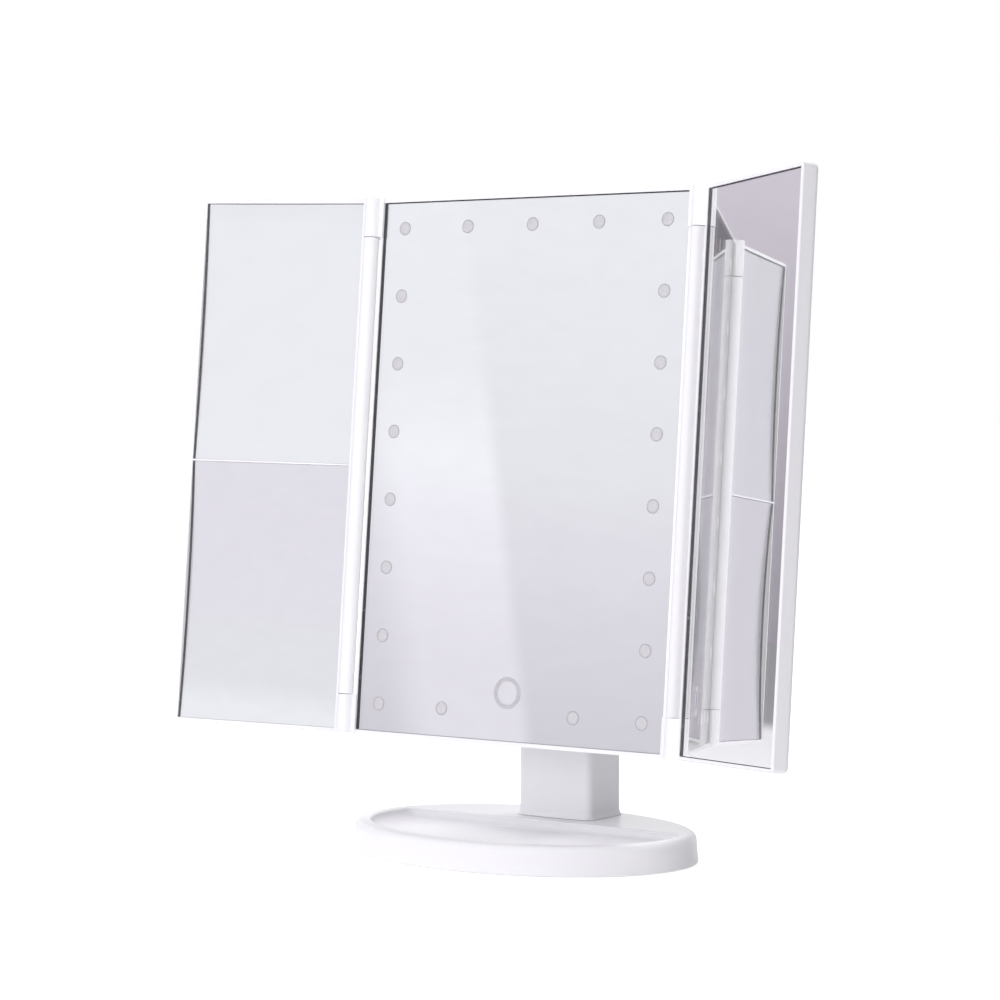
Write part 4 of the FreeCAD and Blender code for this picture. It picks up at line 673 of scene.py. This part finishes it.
class VANITY_OT_stage(bpy.types.Operator):
    """Makes the floor, the lamps, the world and the camera"""
    bl_idname = "vanity.stage"
    bl_label = "Stage"

    def execute(self, context):
        settings = context.scene.vanity_stage
        self.make_floor(context, settings)
        self.make_world(context)
        self.make_lamps(context)
        self.make_camera(context, settings)
        context.scene.view_settings.view_transform = "Standard"
        return {"FINISHED"}

    def make_floor(self, context, settings):
        """Nearly white with the shadow to the camera; to the rest, a glowing painted pool of light, then
        painted shade.
        """
        bm = bmesh.new()
        bmesh.ops.create_grid(bm, x_segments=1, y_segments=1, size=settings.floor_size / 2)
        mesh = bpy.data.meshes.new("floor")
        bm.to_mesh(mesh)
        bm.free()
        floor = bpy.data.objects.new("floor", mesh)
        shader = Shader("floor")
        near = shader.principled(settings.floor, 0.6)
        place = shader.add("ShaderNodeTexCoord")
        away = shader.add("ShaderNodeVectorMath", operation="LENGTH")
        shader.link(place.outputs["Object"], away.inputs[0])
        # painted pool of light: round the mirror the floor keeps its colour and glows, and farther out
        # painted shade darkens it
        painted_pool = shader.spread(away.outputs["Value"], *PAINTED_POOL_EDGE, smooth=True)
        far_shade = (*[c * PAINTED_FAR_SHADE for c in settings.floor], 1)
        shader.link(shader.mix(painted_pool, (*settings.floor, 1), far_shade), near.inputs["Base Color"])
        shader.link(shader.mix(painted_pool, PAINTED_POOL_TINT, (0, 0, 0, 1)), near.inputs["Emission Color"])
        near.inputs["Emission Strength"].default_value = PAINTED_POOL_GLOW
        lit = shader.principled(settings.floor, 0.8)
        glow = shader.add("ShaderNodeEmission")
        glow.inputs["Strength"].default_value = FLOOR_GLOW
        seen = shader.add("ShaderNodeAddShader")
        shader.link(lit.outputs["BSDF"], seen.inputs[0])
        shader.link(glow.outputs["Emission"], seen.inputs[1])
        choose = shader.add("ShaderNodeMixShader")
        path = shader.add("ShaderNodeLightPath")
        shader.link(path.outputs["Is Camera Ray"], choose.inputs["Fac"])
        shader.link(near.outputs["BSDF"], choose.inputs[1])
        shader.link(seen.outputs["Shader"], choose.inputs[2])
        shader.link(choose.outputs["Shader"], shader.output.inputs["Surface"])
        mesh.materials.append(shader.material)
        context.scene.collection.objects.link(floor)

    def make_world(self, context):
        """White behind everything, with walls that only the mirrors show."""
        world = bpy.data.worlds.new("studio")
        context.scene.world = world
        world.use_nodes = True
        room = Nodes(world.node_tree, "ShaderNodeOutputWorld")
        way = room.add("ShaderNodeTexCoord").outputs["Generated"]
        split = room.add("ShaderNodeSeparateXYZ")
        room.link(way, split.inputs[0])
        across, along, up = split.outputs
        bearing = room.math("DEGREES", room.math("ARCTAN2", across, room.math("MULTIPLY", along, -1.0)))
        height = room.math("DEGREES", room.math("ARCSINE", up))

        # the front wall, its darker left part, the light panel, the side wall and the dark left wall
        strength = room.profile(height, FRONT_WALL)
        strength = self.next_wall(room, bearing, height, strength, LEFT_FRONT_WALL, LEFT_FRONT_TURN)
        strength = room.math("ADD", strength, self.light_panel(room, bearing, height))
        strength = self.next_wall(room, bearing, height, strength, SIDE_WALL, SIDE_TURN)
        strength = self.next_wall(room, bearing, height, strength, LEFT_WALL, LEFT_TURN)
        strength = room.math("MULTIPLY", strength, room.profile(bearing, DARK_CORNER))
        strength = room.math("MULTIPLY", strength, self.mottle(room, way))
        tint = room.mix(room.spread(height, *TINT_RISE), LOW_TINT, HIGH_TINT)
        tint = room.mix(room.spread(bearing, *TINT_TURN), tint, LEFT_TINT)
        walls = room.add("ShaderNodeVectorMath", operation="SCALE")
        room.link(tint, walls.inputs[0])
        room.link(strength, walls.inputs["Scale"])

        # white behind the mirror and in the camera's view
        behind = room.spread(room.math("ABSOLUTE", bearing), *BACK_TURN, smooth=True)
        path = room.add("ShaderNodeLightPath")
        white = room.math("MAXIMUM", behind, path.outputs["Is Camera Ray"])
        reflected = room.mix(white, walls.outputs[0], WHITE)

        # the camera and the mirrors see this, and matt surfaces get the soft light instead
        clear = room.math("LESS_THAN", path.outputs["Diffuse Depth"], 0.5)
        shine = room.math("MAXIMUM", path.outputs["Is Transmission Ray"], path.outputs["Is Glossy Ray"])
        seen = room.math("MAXIMUM", path.outputs["Is Camera Ray"], room.math("MULTIPLY", shine, clear))
        soft = room.add("ShaderNodeVectorMath", operation="SCALE")
        soft.inputs[0].default_value = ROOM_TINT
        room.link(room.profile(bearing, ROOM_LIGHT), soft.inputs["Scale"])
        light = room.add("ShaderNodeBackground")
        room.link(room.mix(seen, soft.outputs[0], reflected), light.inputs["Color"])
        room.link(light.outputs["Background"], room.output.inputs["Surface"])

    def next_wall(self, room, bearing, height, strength, wall, turn):
        """Lets the strength so far give way to the next wall, over a turn of the bearing."""
        return room.mix(room.spread(bearing, *turn, smooth=True), strength, room.profile(height, wall))

    def light_panel(self, room, bearing, height):
        """A soft, slightly leaning panel of light on the left of the front wall."""
        leaning = room.math("MULTIPLY_ADD", height, PANEL_LEAN, bearing)
        inside = room.math("MULTIPLY", room.spread(leaning, *PANEL_LEFT, smooth=True),
                           room.spread(leaning, *PANEL_RIGHT, smooth=True))
        return room.math("MULTIPLY", inside, room.profile(height, PANEL))

    def mottle(self, room, way):
        """The faint uneven shade of the backdrop, longer across than up."""
        stretch = room.add("ShaderNodeMapping")
        stretch.inputs["Scale"].default_value = (1, 1, MOTTLE_STRETCH)
        room.link(way, stretch.inputs["Vector"])
        noise = room.add("ShaderNodeTexNoise")
        noise.inputs["Scale"].default_value = MOTTLE_SCALE
        noise.inputs["Detail"].default_value = 3.0
        room.link(stretch.outputs["Vector"], noise.inputs["Vector"])
        return room.spread(noise.outputs["Fac"], 0.2, 0.8, *MOTTLE)

    def make_lamps(self, context):
        """All the lamps, and the link that keeps the kicker to its pieces."""
        lamps = {name: self.area_lamp(context, name, *values) for name, *values in LAMPS}
        lit = bpy.data.collections.new("lit_by_kicker")
        for name in LIT_BY_KICKER:
            lit.objects.link(frame["nodes"][name])
        linking = lamps["kicker"].light_linking
        linking.receiver_collection = linking.blocker_collection = lit

    def area_lamp(self, context, name, place, target, size, power):
        """A round lamp that no mirror shows."""
        data = bpy.data.lights.new(name, "AREA")
        data.shape = "DISK"
        data.size = size
        data.energy = power
        lamp = bpy.data.objects.new(name, data)
        lamp.location = place
        away = Vector(place) - Vector(target)
        lamp.rotation_euler = away.to_track_quat("Z", "Y").to_euler()
        lamp.visible_glossy = lamp.visible_transmission = False
        context.scene.collection.objects.link(lamp)
        return lamp

    def make_camera(self, context, settings):
        """The camera, in front of the mirror and to its right."""
        data = bpy.data.cameras.new("camera")
        data.lens = settings.lens
        data.sensor_width = SENSOR
        camera = bpy.data.objects.new("camera", data)
        camera.location = settings.eye
        camera.rotation_euler = (math.radians(90) - settings.elevation, 0, settings.azimuth)
        context.scene.collection.objects.link(camera)
        context.scene.camera = camera


class VANITY_PT_panel(bpy.types.Panel):
    """Lists the steps that dress the mirror"""
    bl_idname = "VANITY_PT_panel"
    bl_label = "Vanity mirror"
    bl_space_type = "VIEW_3D"
    bl_region_type = "UI"
    bl_category = "Vanity mirror"

    def draw(self, context):
        for operator in STEPS:
            self.layout.operator(operator.bl_idname)
        for group in ("vanity_plastic", "vanity_mirror", "vanity_lights", "vanity_stage"):
            settings = getattr(context.scene, group)
            box = self.layout.box()
            for name in settings.__annotations__:
                box.prop(settings, name)


GROUPS = {
    "vanity_plastic": VanityPlasticSettings,
    "vanity_mirror": VanityMirrorSettings,
    "vanity_lights": VanityLightSettings,
    "vanity_stage": VanityStageSettings,
}
STEPS = (VANITY_OT_plastic, VANITY_OT_inner_pieces, VANITY_OT_flat_mirrors, VANITY_OT_curved_mirrors,
         VANITY_OT_light_spots, VANITY_OT_touch_ring, VANITY_OT_stage)


def register():
    for name, group in GROUPS.items():
        bpy.utils.register_class(group)
        setattr(bpy.types.Scene, name, PointerProperty(type=group))
    for step in STEPS:
        bpy.utils.register_class(step)
    bpy.utils.register_class(VANITY_PT_panel)


def unregister():
    bpy.utils.unregister_class(VANITY_PT_panel)
    for step in reversed(STEPS):
        bpy.utils.unregister_class(step)
    for name, group in reversed(GROUPS.items()):
        delattr(bpy.types.Scene, name)
        bpy.utils.unregister_class(group)


def main():
    register()
    bpy.ops.vanity.plastic()
    bpy.ops.vanity.inner_pieces()
    bpy.ops.vanity.flat_mirrors()
    bpy.ops.vanity.curved_mirrors()
    bpy.ops.vanity.light_spots()
    bpy.ops.vanity.touch_ring()
    bpy.ops.vanity.stage()


if __name__ == "__main__":
    main()
